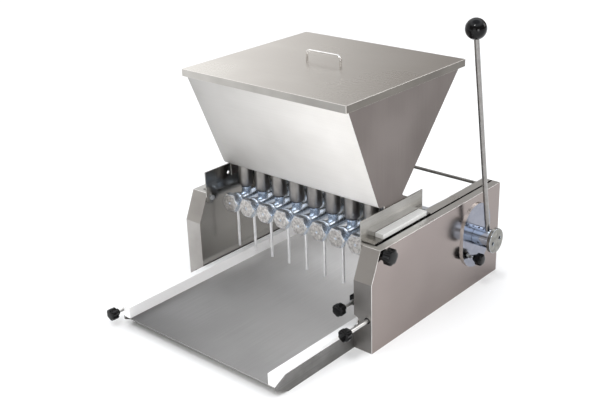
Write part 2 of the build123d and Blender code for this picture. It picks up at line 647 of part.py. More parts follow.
def feed_tube(x):
    """Tube from the hopper floor down into a cylinder's socket."""
    tube = rod_z(x, tube_y, TUBE_RADIUS, tube_seat, hopper_bottom)
    return tube - rod_z(x, tube_y, BORE_RADIUS, tube_seat - OVERCUT, hopper_bottom + OVERCUT)


def tube_seal(x):
    """Rubber ring round a feed tube, on top of its socket."""
    top = socket_top + SEAL_HEIGHT
    ring = rod_z(x, tube_y, SEAL_RADIUS, socket_top, top)
    return ring - rod_z(x, tube_y, TUBE_RADIUS + FIT, socket_top - OVERCUT, top + OVERCUT)


def rod_gland(x):
    """Ring that closes a cylinder behind and guides its piston rod."""
    front = cylinder_rear - GLAND_LENGTH
    ring = rod_y(x, axis_height, BORE_RADIUS - FIT, front, cylinder_rear)
    return ring - rod_y(x, axis_height, ROD_RADIUS + FIT, front - OVERCUT, cylinder_rear + OVERCUT)


for number, x in enumerate(unit_x, start=1):
    nodes[f"dosing_cylinder_{number}"] = dosing_cylinder(x)
nodes["end_caps"] = group(end_cap(x) for x in unit_x)
nodes["needles"] = group(needle(x) for x in unit_x)
nodes["feed_tubes"] = group(feed_tube(x) for x in unit_x)
nodes["tube_seals"] = group(tube_seal(x) for x in unit_x)
nodes["rod_glands"] = group(rod_gland(x) for x in unit_x)
rail_rear = cylinder_rear - RAIL_INSET
rail_front = rail_rear - RAIL_THICKNESS
rail_bottom = axis_height - CYLINDER_RADIUS - RAIL_MARGIN
cylinder_rail = block(-bracket_in, bracket_in, rail_front, rail_rear, rail_bottom, bracket_top - RAIL_MARGIN)
for x in unit_x:
    cylinder_rail -= rod_y(x, axis_height, CYLINDER_RADIUS + FIT, rail_front - OVERCUT, rail_rear + OVERCUT)
nodes["cylinder_rail"] = cylinder_rail


# Shaft bearings and dial
def frame_bush():
    """Flanged bush in the right inner frame."""
    bush = rod_x(shaft_y, SHAFT_Z, BUSH_RADIUS, half_bay, frame_out)
    return bush + rod_x(shaft_y, SHAFT_Z, BUSH_FLANGE_RADIUS, frame_out, frame_out + BUSH_FLANGE)


shaft_hole = rod_x(shaft_y, SHAFT_Z, SHAFT_RADIUS + FIT, -cover_out, disc_end + OVERCUT)
dial_bush = rod_x(shaft_y, SHAFT_Z, BUSH_RADIUS, cover_in, dial_front)
dial_bush += rod_x(shaft_y, SHAFT_Z, BUSH_FLANGE_RADIUS, cover_in - BUSH_FLANGE, cover_in)
bushes = [frame_bush(), mirrored(frame_bush()), dial_bush]
nodes["shaft_bushes"] = group(bush - shaft_hole for bush in bushes)
dial_face = Pos(shaft_y, SHAFT_Z) * SlotOverall(DIAL_HEIGHT, DIAL_WIDTH, rotation=90)
nodes["dial_plate"] = (
    plate_x(dial_face, cover_out, dial_front)
    - rod_x(shaft_y, SHAFT_Z, BUSH_RADIUS + FIT, cover_out - OVERCUT, dial_front + OVERCUT)
    - dial_slot(cover_out - OVERCUT, dial_front + OVERCUT)
)


# Lever: shaft, hub, end disc, screws, rod and ball
def on_lever(shape):
    """Place a piece drawn upright on the shaft axis at the lever's lean."""
    return Pos(0, shaft_y, SHAFT_Z) * Rot(LEVER_LEAN, 0, 0) * shape


hub_screw_y = (-HUB_SCREW_OFFSET, HUB_SCREW_OFFSET)
hub_screw_head_end = disc_end - HUB_SCREW_SINK
lever_foot = SHAFT_RADIUS + RUN
hub = rod_x(0, 0, HUB_RADIUS, hub_start, disc_start)
hub -= rod_x(0, 0, SHAFT_RADIUS + FIT, hub_start - OVERCUT, disc_start + OVERCUT)
hub -= rod_z(lever_x, 0, LEVER_RADIUS + FIT, 0, HUB_RADIUS + OVERCUT)
disc = rod_x(0, 0, HUB_DISC_RADIUS, disc_start, disc_end)
hub_screws = []
for y in hub_screw_y:
    head_start = hub_screw_head_end - HUB_SCREW_HEAD
    shank_start = hub_screw_head_end - HUB_SCREW_LENGTH
    hub -= rod_x(y, 0, HUB_SCREW_RADIUS + FIT, shank_start - OVERCUT, disc_start + OVERCUT)
    disc -= rod_x(y, 0, HUB_SCREW_RADIUS + FIT, disc_start - OVERCUT, disc_end + OVERCUT)
    disc -= rod_x(y, 0, HUB_SCREW_HEAD_RADIUS + FIT, head_start, disc_end + OVERCUT)
    screw = rod_x(y, 0, HUB_SCREW_RADIUS, shank_start, head_start)
    hub_screws.append(screw + rod_x(y, 0, HUB_SCREW_HEAD_RADIUS, head_start, hub_screw_head_end))
for place in SET_SCREW_PLACES:
    hub -= rod_z(hub_start + place, 0, SET_SCREW_RADIUS + FIT, 0, HUB_RADIUS + OVERCUT)
    hub_screws.append(rod_z(hub_start + place, 0, SET_SCREW_RADIUS, lever_foot, HUB_RADIUS - RUN))
ball_flat = LEVER_LENGTH - BALL_RADIUS + BALL_RADIUS / 10
lever_top = ball_flat + BALL_SOCKET
lever_rod = rod_z(lever_x, 0, LEVER_RADIUS, lever_foot, lever_top)
ball = Pos(lever_x, 0, LEVER_LENGTH) * Sphere(BALL_RADIUS)
ball -= rod_z(lever_x, 0, BALL_RADIUS, LEVER_LENGTH - 2 * BALL_RADIUS, ball_flat)
ball -= rod_z(lever_x, 0, LEVER_RADIUS + FIT, LEVER_LENGTH - 2 * BALL_RADIUS, lever_top)
shaft_start = -(frame_out + SHAFT_LEFT_END)
nodes["lever_shaft"] = rod_x(shaft_y, SHAFT_Z, SHAFT_RADIUS, shaft_start, disc_start)
nodes["lever_hub"] = on_lever(hub)
nodes["hub_disc"] = on_lever(disc)
nodes["hub_screws"] = group(on_lever(screw) for screw in hub_screws)
nodes["lever_rod"] = on_lever(lever_rod)
nodes["ball_knob"] = on_lever(ball)


# Cranks on the lever shaft
def crank():
    """Crank drawn upright on the shaft axis, with a fork for its drive pin."""
    fork_half = DRIVE_PIN_RADIUS + FORK_CLEARANCE
    arm = rod_x(0, 0, CRANK_HUB_RADIUS, crank_in, crank_out)
    arm += block(crank_in, crank_out, -CRANK_ARM / 2, CRANK_ARM / 2, 0, fork_tip)
    arm += rod_x(0, 0, CRANK_BOSS_RADIUS, crank_in - CRANK_BOSS, crank_in)
    return arm - block(
        crank_in - OVERCUT, crank_out + OVERCUT, -fork_half, fork_half, fork_root, fork_tip + OVERCUT
    )


def on_crank(shape):
    """Place an upright crank at its rest angle and bore it for the shaft."""
    placed = Pos(0, shaft_y, SHAFT_Z) * Rot(-crank_lean, 0, 0) * shape
    return placed - shaft_hole


stop_tail = block(crank_in, crank_out, -TAIL_WIDTH / 2, TAIL_WIDTH / 2, -tail_reach - TAIL_BOSS_RADIUS, 0)
stop_tail += rod_x(0, -tail_reach, TAIL_BOSS_RADIUS, crank_out, spindle_x + TRAY_ROD_RADIUS)
nodes["right_crank"] = on_crank(crank() + stop_tail)
nodes["left_crank"] = on_crank(mirrored(crank()))

# Piston carriage: drive pins, links, yoke, rods, pistons and seals
yoke_front = cylinder_rear + YOKE_SETBACK
yoke_rear = yoke_front + YOKE_DEPTH
yoke_top = axis_height + YOKE_HEIGHT / 2
yoke_bottom = axis_height - YOKE_HEIGHT / 2
link_in = half_bay - LINK_INSET - LINK_WIDTH / 2
link_out = link_in + LINK_WIDTH


def push_link():
    """Plate from the right end of the yoke back to an eye on the drive pin."""
    rise = math.atan2(drive_pin_z - axis_height, drive_pin_y - yoke_rear)
    side_y = LINK_EYE_RADIUS * math.sin(rise)
    side_z = LINK_EYE_RADIUS * math.cos(rise)
    arm = outline(
        (yoke_rear, yoke_bottom), (yoke_rear, yoke_top),
        (drive_pin_y - side_y, drive_pin_z + side_z), (drive_pin_y + side_y, drive_pin_z - side_z),
    )
    eye = rod_x(drive_pin_y, drive_pin_z, LINK_EYE_RADIUS, link_in, link_out)
    hole = rod_x(drive_pin_y, drive_pin_z, DRIVE_PIN_RADIUS + FIT, link_in - OVERCUT, link_out + OVERCUT)
    return plate_x(arm, link_in, link_out) + eye - hole


def ring_y(x, outer, inner, y0, y1):
    """Ring round a cylinder axis."""
    return rod_y(x, axis_height, outer, y0, y1) - rod_y(x, axis_height, inner, y0 - OVERCUT, y1 + OVERCUT)


def piston(x):
    """Piston with a groove near each end."""
    body = rod_y(x, axis_height, BORE_RADIUS - BORE_RUN, piston_face, piston_rear)
    for front in groove_fronts:
        body -= ring_y(x, BORE_RADIUS, groove_floor, front, front + PISTON_GROOVE)
    return body


def rod_nut(x):
    """Nut that locks a piston rod in the yoke."""
    nut = Pos(x, yoke_rear, axis_height) * Rot(-90, 0, 0) * hexagon(ROD_NUT_ACROSS_FLATS, ROD_NUT)
    return nut - rod_y(x, axis_height, ROD_RADIUS + FIT, yoke_rear - OVERCUT, yoke_rear + ROD_NUT + OVERCUT)


groove_floor = BORE_RADIUS - BORE_RUN - PISTON_GROOVE_DEPTH
groove_fronts = (piston_face + PISTON_GROOVE_INSET, piston_rear - PISTON_GROOVE_INSET - PISTON_GROOVE)
rod_end = yoke_rear + ROD_NUT + SHEET
piston_rods = [rod_y(x, axis_height, ROD_RADIUS, piston_rear, rod_end) for x in unit_x]
piston_seals = [
    ring_y(x, BORE_RADIUS - FIT, groove_floor, front, front + PISTON_GROOVE)
    for x in unit_x
    for front in groove_fronts
]
yoke = block(-link_out, link_out, yoke_front, yoke_rear, yoke_bottom, yoke_top)
for x in unit_x:
    yoke -= rod_y(x, axis_height, ROD_RADIUS + FIT, yoke_front - OVERCUT, yoke_rear + OVERCUT)
drive_pin = rod_x(drive_pin_y, drive_pin_z, DRIVE_PIN_RADIUS, link_in, crank_out + DRIVE_PIN_END)
nodes["drive_pins"] = group([drive_pin, mirrored(drive_pin)])
nodes["push_links"] = group([push_link(), mirrored(push_link())])
nodes["yoke"] = yoke
nodes["piston_rods"] = group(piston_rods + [rod_nut(x) for x in unit_x])
nodes["pistons"] = group(piston(x) for x in unit_x)
nodes["piston_seals"] = group(piston_seals)

# Lid with its wire handle
lid_front = hopper_front - LID_FRONT_OVERHANG
lid_rear = hopper_rear + LID_REAR_OVERHANG
lid = block(-lid_half, lid_half, lid_front, lid_rear, lid_top - LID_SKIRT, lid_top)
lid -= block(
    SHEET - lid_half, lid_half - SHEET, lid_front + SHEET, lid_rear - SHEET,
    lid_top - LID_SKIRT - OVERCUT, lid_top - SHEET,
)
handle_bottom = lid_top - SHEET - HANDLE_NUT_HEIGHT
handle_axis_top = lid_top + HANDLE_HEIGHT - HANDLE_RADIUS
handle_x = HANDLE_SPAN / 2
handle_path = FilletPolyline(
    (-handle_x, lid_middle, handle_bottom), (-handle_x, lid_middle, handle_axis_top),
    (handle_x, lid_middle, handle_axis_top), (handle_x, lid_middle, handle_bottom), radius=HANDLE_BEND,
)
handle_nuts = []
for x in (-handle_x, handle_x):
    leg_hole = rod_z(x, lid_middle, HANDLE_RADIUS + FIT, handle_bottom - OVERCUT, lid_top + OVERCUT)
    lid -= leg_hole
    handle_nuts.append(rod_z(x, lid_middle, HANDLE_NUT_RADIUS, handle_bottom, lid_top - SHEET) - leg_hole)
nodes["lid"] = lid
handle_start = Plane(handle_path @ 0, z_dir=handle_path % 0)
nodes["lid_handle"] = sweep(handle_start * Circle(HANDLE_RADIUS), path=handle_path)
nodes["handle_nuts"] = group(handle_nuts)

# Clamp knob at the front of the right box; the left bracket has a bolt instead
clamp_seat = Pos(cover_out + RUN, CLAMP_Y, clamp_z)
clamp_grip = clamp_seat * Rot(0, 90, 0) * star_grip(CLAMP_GRIP, CLAMP_GRIP_HEIGHT)
clamp_stud = rod_x(CLAMP_Y, clamp_z, STUD_RADIUS, bracket_in, cover_out + RUN)
nodes["clamp_knob"] = group([clamp_grip, clamp_stud])

# Dose stop: knob and stud in the dial's slot, with its nut inside the cover
knob_seat = dial_front + DIAL_STUD_SHOW
stop_nut_in = cover_in - STOP_NUT_THICKNESS
stop_seat = Pos(knob_seat, dial_knob_y, dial_knob_z)
stop_grip = stop_seat * Rot(0, 90, 0) * star_grip(SMALL_GRIP, SMALL_GRIP_HEIGHT)
nodes["dose_stop_knob"] = group(
    [stop_grip, rod_x(dial_knob_y, dial_knob_z, DIAL_STUD_RADIUS, stop_nut_in, knob_seat)]
)
stop_nut = block(
    stop_nut_in, cover_in, dial_knob_y - STOP_NUT_SIZE / 2, dial_knob_y + STOP_NUT_SIZE / 2,
    dial_knob_z - STOP_NUT_SIZE / 2, dial_knob_z + STOP_NUT_SIZE / 2,
)
nodes["dose_stop_nut"] = stop_nut - rod_x(
    dial_knob_y, dial_knob_z, DIAL_STUD_RADIUS + FIT, stop_nut_in - OVERCUT, cover_in + OVERCUT
)


# Rods with knobs at the front, and what guides them
def grip_seat(front):
    """Where a rod meets the back of its grip."""
    return front + SMALL_GRIP_HEIGHT + GRIP_BOSS


def front_grip(x, z, front):
    """Small star grip that faces the front."""
    return Pos(x, grip_seat(front), z) * Rot(90, 0, 0) * star_grip(SMALL_GRIP, SMALL_GRIP_HEIGHT)


def front_guide(x, z):
    """Flanged guide in a front panel."""
    guide = rod_y(x, z, GUIDE_RADIUS, 0, frame_front + GUIDE_LENGTH)
    guide += rod_y(x, z, GUIDE_FLANGE_RADIUS, frame_front, frame_front + GUIDE_FLANGE)
    return guide - rod_y(x, z, TRAY_ROD_RADIUS + FIT, -OVERCUT, frame_front + GUIDE_LENGTH + OVERCUT)


def guide_block(x, z, x0, x1, y, length):
    """Block with a rod hole, fixed to the face of a frame."""
    body = block(x0, x1, y, y + length, z - GUIDE_MARGIN, z + GUIDE_MARGIN)
    return body - rod_y(x, z, TRAY_ROD_RADIUS + FIT, y - OVERCUT, y + length + OVERCUT)


stop_block = block(
    stop_rod_x - STOP_HALF_WIDTH, stop_rod_x + STOP_HALF_WIDTH, stop_front, STOP_ROD_REAR,
    strip_top + STOP_ABOVE_STRIP, STOP_ROD_Z + STOP_HALF_WIDTH,
)
pusher_rear = PUSHER_FRONT + PUSHER_LENGTH
pusher = block(
    feed_rod_x - GUIDE_RADIUS, feed_rod_x + GUIDE_RADIUS, PUSHER_FRONT, pusher_rear,
    FEED_ROD_Z - GUIDE_RADIUS, pusher_bottom + PUSHER_HEIGHT,
)
pusher += block(
    feed_rod_x, PUSHER_REACH - half_bay, PUSHER_FRONT, pusher_rear,
    pusher_bottom, pusher_bottom + PUSHER_HEIGHT,
)
spindle_start = grip_seat(SPINDLE_GRIP_FRONT)
nodes["dose_knob"] = front_grip(spindle_x, SPINDLE_Z, SPINDLE_GRIP_FRONT)
nodes["dose_spindle"] = rod_y(spindle_x, SPINDLE_Z, TRAY_ROD_RADIUS, spindle_start, spindle_end)
nodes["tray_stop_knob"] = front_grip(stop_rod_x, STOP_ROD_Z, stop_grip_front)
nodes["tray_stop_rod"] = (
    rod_y(stop_rod_x, STOP_ROD_Z, TRAY_ROD_RADIUS, grip_seat(stop_grip_front), STOP_ROD_REAR) + stop_block
)
nodes["feed_knob"] = front_grip(feed_rod_x, FEED_ROD_Z, FEED_GRIP_FRONT)
nodes["feed_rod"] = (
    rod_y(feed_rod_x, FEED_ROD_Z, TRAY_ROD_RADIUS, grip_seat(FEED_GRIP_FRONT), FEED_ROD_REAR) + pusher
)
rod_guides = [front_guide(spindle_x, SPINDLE_Z), front_guide(feed_rod_x, FEED_ROD_Z)]
rod_guides += [
    guide_block(stop_rod_x, STOP_ROD_Z, stop_rod_x - GUIDE_MARGIN, half_bay, y, GUIDE_BLOCK)
    for y in (STOP_GUIDE_FRONT, stop_guide_rear)
]
rod_guides.append(
    guide_block(spindle_x, SPINDLE_Z, frame_out, spindle_x + GUIDE_RADIUS, SPINDLE_SUPPORT_Y, SUPPORT_PLATE)
)
rod_guides.append(
    guide_block(feed_rod_x, FEED_ROD_Z, feed_rod_x - GUIDE_RADIUS, -frame_out, FEED_SUPPORT_Y, SUPPORT_PLATE)
)
nodes["rod_guides"] = group(rod_guides)

# Shift to the middle of the machine's bottom, and write each piece
whole = Compound([solid for shape in nodes.values() for solid in shape.solids()]).bounding_box()
origin = ((whole.min.X + whole.max.X) / 2, (whole.min.Y + whole.max.Y) / 2, whole.min.Z)
to_origin = Pos(-origin[0], -origin[1], -origin[2])
os.makedirs("parts", exist_ok=True)
for name, shape in nodes.items():
    export_step(to_origin * group([shape]), f"parts/{name}.step")
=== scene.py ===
"""Praline filling dispenser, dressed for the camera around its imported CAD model."""

import json
import math

import bmesh
import bpy
from mathutils import Matrix, Vector

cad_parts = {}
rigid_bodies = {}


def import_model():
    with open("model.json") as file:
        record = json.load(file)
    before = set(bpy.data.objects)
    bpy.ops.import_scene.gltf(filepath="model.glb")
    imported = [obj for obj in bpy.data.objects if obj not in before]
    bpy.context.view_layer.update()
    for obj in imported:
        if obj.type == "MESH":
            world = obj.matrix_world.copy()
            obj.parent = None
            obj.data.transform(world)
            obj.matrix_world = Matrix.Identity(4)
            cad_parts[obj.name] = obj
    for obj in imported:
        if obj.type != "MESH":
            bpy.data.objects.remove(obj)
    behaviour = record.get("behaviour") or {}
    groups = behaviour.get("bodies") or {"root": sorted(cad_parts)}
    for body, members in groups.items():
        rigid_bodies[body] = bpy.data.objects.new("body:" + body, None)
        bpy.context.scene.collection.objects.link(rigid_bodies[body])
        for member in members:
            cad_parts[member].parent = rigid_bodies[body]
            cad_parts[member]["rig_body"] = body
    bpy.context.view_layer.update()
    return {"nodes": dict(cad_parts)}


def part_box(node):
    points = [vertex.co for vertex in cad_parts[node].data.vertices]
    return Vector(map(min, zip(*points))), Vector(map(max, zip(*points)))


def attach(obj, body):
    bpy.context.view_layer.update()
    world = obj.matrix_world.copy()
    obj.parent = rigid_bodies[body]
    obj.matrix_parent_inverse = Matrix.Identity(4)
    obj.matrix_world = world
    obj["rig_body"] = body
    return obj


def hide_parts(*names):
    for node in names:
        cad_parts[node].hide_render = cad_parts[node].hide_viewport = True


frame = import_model()

# Tray table: a flat plate of stainless sheet, welded along its sides to two upright rails of dark grey
# stainless bar.
# The plate is ground from front to back with a coarse belt, so it shows no mirror image; its grey is painted
# darker towards the front and left, as painted shade that evens out the light on it.
# The cut edges are only broken with a file, which leaves a thin bright line round each sheet.
MM = 0.001


def linear(colour):
    """Linear RGBA of an sRGB hex colour."""
    parts = [int(colour[i:i + 2], 16) / 255 for i in (1, 3, 5)]
    return [c / 12.92 if c <= 0.04045 else ((c + 0.055) / 1.055) ** 2.4 for c in parts] + [1.0]


def add(tree, kind, inputs=None, **settings):
    """One node with its settings; each input is set to a value or linked from one or more sockets."""
    node = tree.nodes.new(kind)
    for name, value in settings.items():
        setattr(node, name, value)
    for key, value in (inputs or {}).items():
        sources = value if isinstance(value, list) else [value]
        if isinstance(sources[0], bpy.types.NodeSocket):
            for source in sources:
                tree.links.new(source, node.inputs[key])
        else:
            node.inputs[key].default_value = value
    return node


def blank(name):
    """New material with an empty node tree."""
    material = bpy.data.materials.new(name)
    material.use_nodes = True
    material.node_tree.nodes.clear()
    return material, material.node_tree


GRIT_LENGTH = 140 * MM


def brushed_sheet(name, bright, dull, along, roughness, cloud=90 * MM, line=1.6 * MM, streak=0.45, fade=None):
    """Stainless sheet, ground along one axis: cloudy between two greys, with long fine lines.

    Real grit lines are about 0.1 mm apart; they are drawn coarser so that they show. A sheet with
    painted shade has its colour painted darker towards one side, as shade: the way it runs, how far
    along that the colour is darkest and how far it is full, and the share of its colour where darkest.
    """
    material, tree = blank(name)
    place = add(tree, "ShaderNodeTexCoord").outputs["Object"]
    clouds = add(tree, "ShaderNodeTexNoise", {"Vector": place, "Scale": 1 / cloud, "Detail": 2.0})
    stretch = [1 / (GRIT_LENGTH if axis == along else line) for axis in "XYZ"]
    grit = add(tree, "ShaderNodeMapping", {"Vector": place, "Scale": stretch})
    lines = add(tree, "ShaderNodeTexNoise", {"Vector": grit.outputs[0], "Scale": 1.0, "Detail": 4.0})
    shade = add(tree, "ShaderNodeMix", {0: streak, 2: clouds.outputs[0], 3: lines.outputs[0]})
    spread = {"Value": shade.outputs[0], "From Min": 0.38, "From Max": 0.62}
    amount = add(tree, "ShaderNodeMapRange", spread)
    tone = add(tree, "ShaderNodeMix", {
        0: amount.outputs[0], 6: linear(dull), 7: linear(bright),
    }, data_type="RGBA").outputs[2]
    # Painted shade: the colour is scaled down towards one side of the sheet.
    if fade:
        reach = add(tree, "ShaderNodeVectorMath", {0: place, 1: fade["way"]}, operation="DOT_PRODUCT")
        left = add(tree, "ShaderNodeMapRange", {
            "Value": reach.outputs["Value"], "From Min": fade["dull"], "From Max": fade["bright"],
            "To Min": fade["share"],
        })
        faded = add(tree, "ShaderNodeVectorMath", {0: tone, "Scale": left.outputs[0]}, operation="SCALE")
        tone = faded.outputs[0]
    gloss = add(tree, "ShaderNodeMapRange", {**spread, "To Min": roughness[1], "To Max": roughness[0]})
    relief = add(tree, "ShaderNodeBump", {
        "Height": lines.outputs[0], "Strength": 0.25 * streak, "Distance": 0.04 * MM,
    })
    steel = add(tree, "ShaderNodeBsdfPrincipled", {
        "Base Color": tone, "Roughness": gloss.outputs[0], "Normal": relief.outputs[0], "Metallic": 1.0,
    })
    add(tree, "ShaderNodeOutputMaterial", {"Surface": steel.outputs[0]})
    return material


SMOOTH_BELOW = math.radians(25)


def merged(node, bend, rim=0.3 * MM, keep=None):
    """Merged copy of a CAD node's mesh, with full bevel weight on its folds and little on narrow rims.

    Where keep is given, only what lies below that X is kept.
    """
    broad = 3 * MM
    shape = bmesh.new()
    shape.from_mesh(frame["nodes"][node].data)
    bmesh.ops.remove_doubles(shape, verts=shape.verts, dist=0.001 * MM)
    if keep is not None:
        bmesh.ops.delete(shape, geom=[point for point in shape.verts if point.co.x > keep], context="VERTS")
    bmesh.ops.dissolve_limit(shape, angle_limit=math.radians(1), verts=shape.verts, edges=shape.edges)
    weight = shape.edges.layers.float.new("bevel_weight_edge")
    for edge in shape.edges:
        if len(edge.link_faces) == 2 and edge.calc_face_angle_signed() > SMOOTH_BELOW:
            width = min(2 * face.calc_area() / face.calc_perimeter() for face in edge.link_faces)
            edge[weight] = 1.0 if width > broad else rim / bend
    mesh = bpy.data.meshes.new(node + "_merged")
    shape.to_mesh(mesh)
    shape.free()
    return mesh


def finished(piece, materials, bend, segments=2, limit="WEIGHT", pick=None):
    """Shade a piece smooth up to its edges and round those; the last material goes on the rounded edges.

    Where pick is given, it tells a face's material number from its normal.
    """
    piece.data.shade_smooth()
    piece.data.set_sharp_from_angle(angle=SMOOTH_BELOW)
    piece.data.materials.clear()
    for material in materials:
        piece.data.materials.append(material)
    rounding = piece.modifiers.new("rounded edges", "BEVEL")
    rounding.width = bend
    rounding.segments = segments
    rounding.limit_method = limit
    rounding.angle_limit = SMOOTH_BELOW
    rounding.harden_normals = True
    rounding.material = len(materials) - 1
    if pick:
        for face in piece.data.polygons:
            face.material_index = pick(face.normal)


def riding(piece, body, slot, *nodes):
    """Set a piece on its body, in place of the CAD nodes named; its slot is not used."""
    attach(piece, body)
    if nodes:
        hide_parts(*nodes)


def edged(node, name, materials, bend, slot, segments=2, pick=None):
    """Piece after one CAD node, with rounded edges."""
    piece = bpy.data.objects.new(name, merged(node, bend))
    bpy.context.scene.collection.objects.link(piece)
    finished(piece, materials, bend, segments, pick=pick)
    riding(piece, frame["nodes"][node]["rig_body"], slot, node)


burnished = brushed_sheet(
    "stainless steel, burnished edge", "#F2F1EF", "#E2E1DE", "Y", (0.22, 0.30), streak=0.2,
)
table_low, table_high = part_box("base_plate")
# Painted shade: the table's colour falls to about a quarter towards the front left.
table_sheet = brushed_sheet(
    "stainless steel, belt ground table", "#E6E5E4", "#DCDBDA", "Y", (0.62, 0.70), cloud=160 * MM,
    line=2.2 * MM, streak=0.3,
    fade=dict(way=(0.58, 1, 0), dull=table_low.y - 96 * MM, bright=table_low.y + 381 * MM, share=0.27),
)
# The rails' bar is coloured a dark grey.
rail_bar = brushed_sheet(
    "stainless steel, pickled rail", "#807F7E", "#72716F", "Y", (0.40, 0.52), cloud=40 * MM,
)
edged("base_plate", "ground_table_plate", [table_sheet, burnished], 0.4 * MM, "stainless_sheet")
for rail in ("left_side_rail", "right_side_rail"):
    edged(rail, "pickled_" + rail, [rail_bar, burnished], 0.4 * MM, "stainless_sheet")

# Slide strips: two bars of white polyethylene on which the mould trays slide.
# They are sawn and planed from sheet, so they are matt with a waxy sheen, and they are screwed on from below.
MARK_WIDTH, MARK_LENGTH = 3 * MM, 60 * MM
white_strip, tree = blank("polyethylene, planed white")
place = add(tree, "ShaderNodeTexCoord").outputs["Object"]
planed = add(tree, "ShaderNodeMapping", {
    "Vector": place, "Scale": [1 / MARK_WIDTH, 1 / MARK_LENGTH, 1 / MARK_WIDTH],
})
marks = add(tree, "ShaderNodeTexNoise", {"Vector": planed.outputs[0], "Scale": 1.0, "Detail": 3.0})
tone = add(tree, "ShaderNodeMix", {
    0: marks.outputs[0], 6: linear("#F8F9FA"), 7: linear("#FFFFFF"),
}, data_type="RGBA")
relief = add(tree, "ShaderNodeBump", {"Height": marks.outputs[0], "Strength": 0.15, "Distance": 0.1 * MM})
wax = add(tree, "ShaderNodeBsdfPrincipled", {
    "Base Color": tone.outputs[2], "Normal": relief.outputs[0], "Roughness": 0.38, "IOR": 1.54,
    "Subsurface Weight": 0.8, "Subsurface Radius": (9 * MM, 9 * MM, 9 * MM),
})
add(tree, "ShaderNodeOutputMaterial", {"Surface": wax.outputs[0]})
for strip in ("left_slide_strip", "right_slide_strip"):
    edged(strip, "planed_" + strip, [white_strip], 0.8 * MM, "white_plastic")

# Inner frames: 3 mm stainless plates with bent flanges that carry the shaft, the ledges and the covers.
# Their inside faces look on the table, which they mirror softly, so they are the dark walls of the bay.
# The ledges on top are rubbed by the brackets, and their lighter sheet also paints the light that falls on
# them from above.
frame_sheet = brushed_sheet(
    "stainless steel, cold rolled frame plate", "#9A9894", "#8F8D89", "Y", (0.16, 0.24), cloud=120 * MM,
    streak=0.15,
)
# Painted light: upward faces get this lighter sheet for the light from above, as well as for rubbing.
ledge_rub = brushed_sheet(
    "stainless steel, rubbed ledge", "#C2C1BF", "#B2B1AE", "Y", (0.26, 0.34), streak=0.2,
)
for plate in ("left_inner_frame", "right_inner_frame"):
    edged(
        plate, "bent_" + plate, [frame_sheet, ledge_rub, burnished], 1.0 * MM, "stainless_sheet",
        pick=lambda normal: 1 if normal.z > 0.8 else 0,
    )

# Outer covers: 1.5 mm stainless folded into side, front, slope and back, and screwed on from behind.
# The sides are warm grey and almost mirrors, the narrow fronts and slopes are satin, and the folds burnished.
# Painted shade: the cover sides' colour is darker towards the back and the bottom.
panel_sheet = brushed_sheet(
    "stainless steel, polished cover side", "#9C928E", "#938986", "Y", (0.12, 0.18), cloud=200 * MM,
    streak=0.15,
    fade=dict(way=(0, -1, 0.63), dull=-table_low.y - 531 * MM, bright=-table_low.y - 161 * MM, share=0.78),
)
slope_sheet = brushed_sheet(
    "stainless steel, satin cover slope", "#A9A6A3", "#9F9C99", "X", (0.32, 0.40), cloud=60 * MM, streak=0.05,
)
# Painted shade: the cover fronts' colour is darker towards the right.
front_sheet = brushed_sheet(
    "stainless steel, satin cover front", "#ADAAA7", "#A3A09D", "X", (0.42, 0.50), cloud=60 * MM, streak=0.05,
    fade=dict(way=(-1, 0, 0), dull=-table_high.x, bright=-table_low.x, share=0.60),
)


def cover_finish(normal):
    """Material number on a cover: side, satin front, satin slope or top lip, whose lighter sheet is rubbed
    and also painted light from above.
    """
    if normal.z > 0.8:
        return 3
    if normal.y < -0.97:
        return 1
    return 2 if normal.y < -0.3 else 0


for cover in ("left_outer_cover", "right_outer_cover"):
    edged(
        cover, "folded_" + cover, [panel_sheet, front_sheet, slope_sheet, ledge_rub, burnished], 2.0 * MM,
        "stainless_sheet", segments=3, pick=cover_finish,
    )

# Frame screws: hexagon bolts through the rails and under the strips, and button heads behind the covers.
# They are cold headed, zinc plated steel, set flush on their seats, and the wrench leaves the corners bright.
TABLE_REACH = 216 * MM
MID_PLANE = (table_low.x + table_high.x) / 2
BOX_FRONTS = table_low.y + TABLE_REACH


def at(x, y, z):
    """Point given in millimetres from the machine's mid-plane, the fronts of the boxes and the floor."""
    return Vector((MID_PLANE + x * MM, BOX_FRONTS + y * MM, z * MM))


def built(name, tree, values, start):
    """Piece with the plain mesh that a node tree makes from its inputs and a start mesh."""
    piece = bpy.data.objects.new(name, start)
    bpy.context.scene.collection.objects.link(piece)
    grown = piece.modifiers.new(tree.name, "NODES")
    grown.node_group = tree
    for item in tree.interface.items_tree:
        if item.in_out == "INPUT" and item.name in values:
            grown[item.identifier] = values[item.name]
    depsgraph = bpy.context.evaluated_depsgraph_get()
    result = piece.evaluated_get(depsgraph)
    mesh = bpy.data.meshes.new_from_object(result, preserve_all_data_layers=True, depsgraph=depsgraph)
    piece.modifiers.clear()
    piece.data = mesh
    mesh.name = name
    return piece


def marked(name, places):
    """Loose points for fasteners, each with the direction that its head faces."""
    mesh = bpy.data.meshes.new(name)
    mesh.from_pydata([spot for spot, _ in places], [], [])
    facing = mesh.attributes.new("facing", "FLOAT_VECTOR", "POINT")
    for point, (_, direction) in zip(facing.data, places):
        point.vector = direction
    return mesh


def both_sides(places):
    """The same places on the right and on the left of the machine."""
    left = [
        (Vector((2 * MID_PLANE - spot.x, spot.y, spot.z)), (-way[0], way[1], way[2])) for spot, way in places
    ]
    return places + left


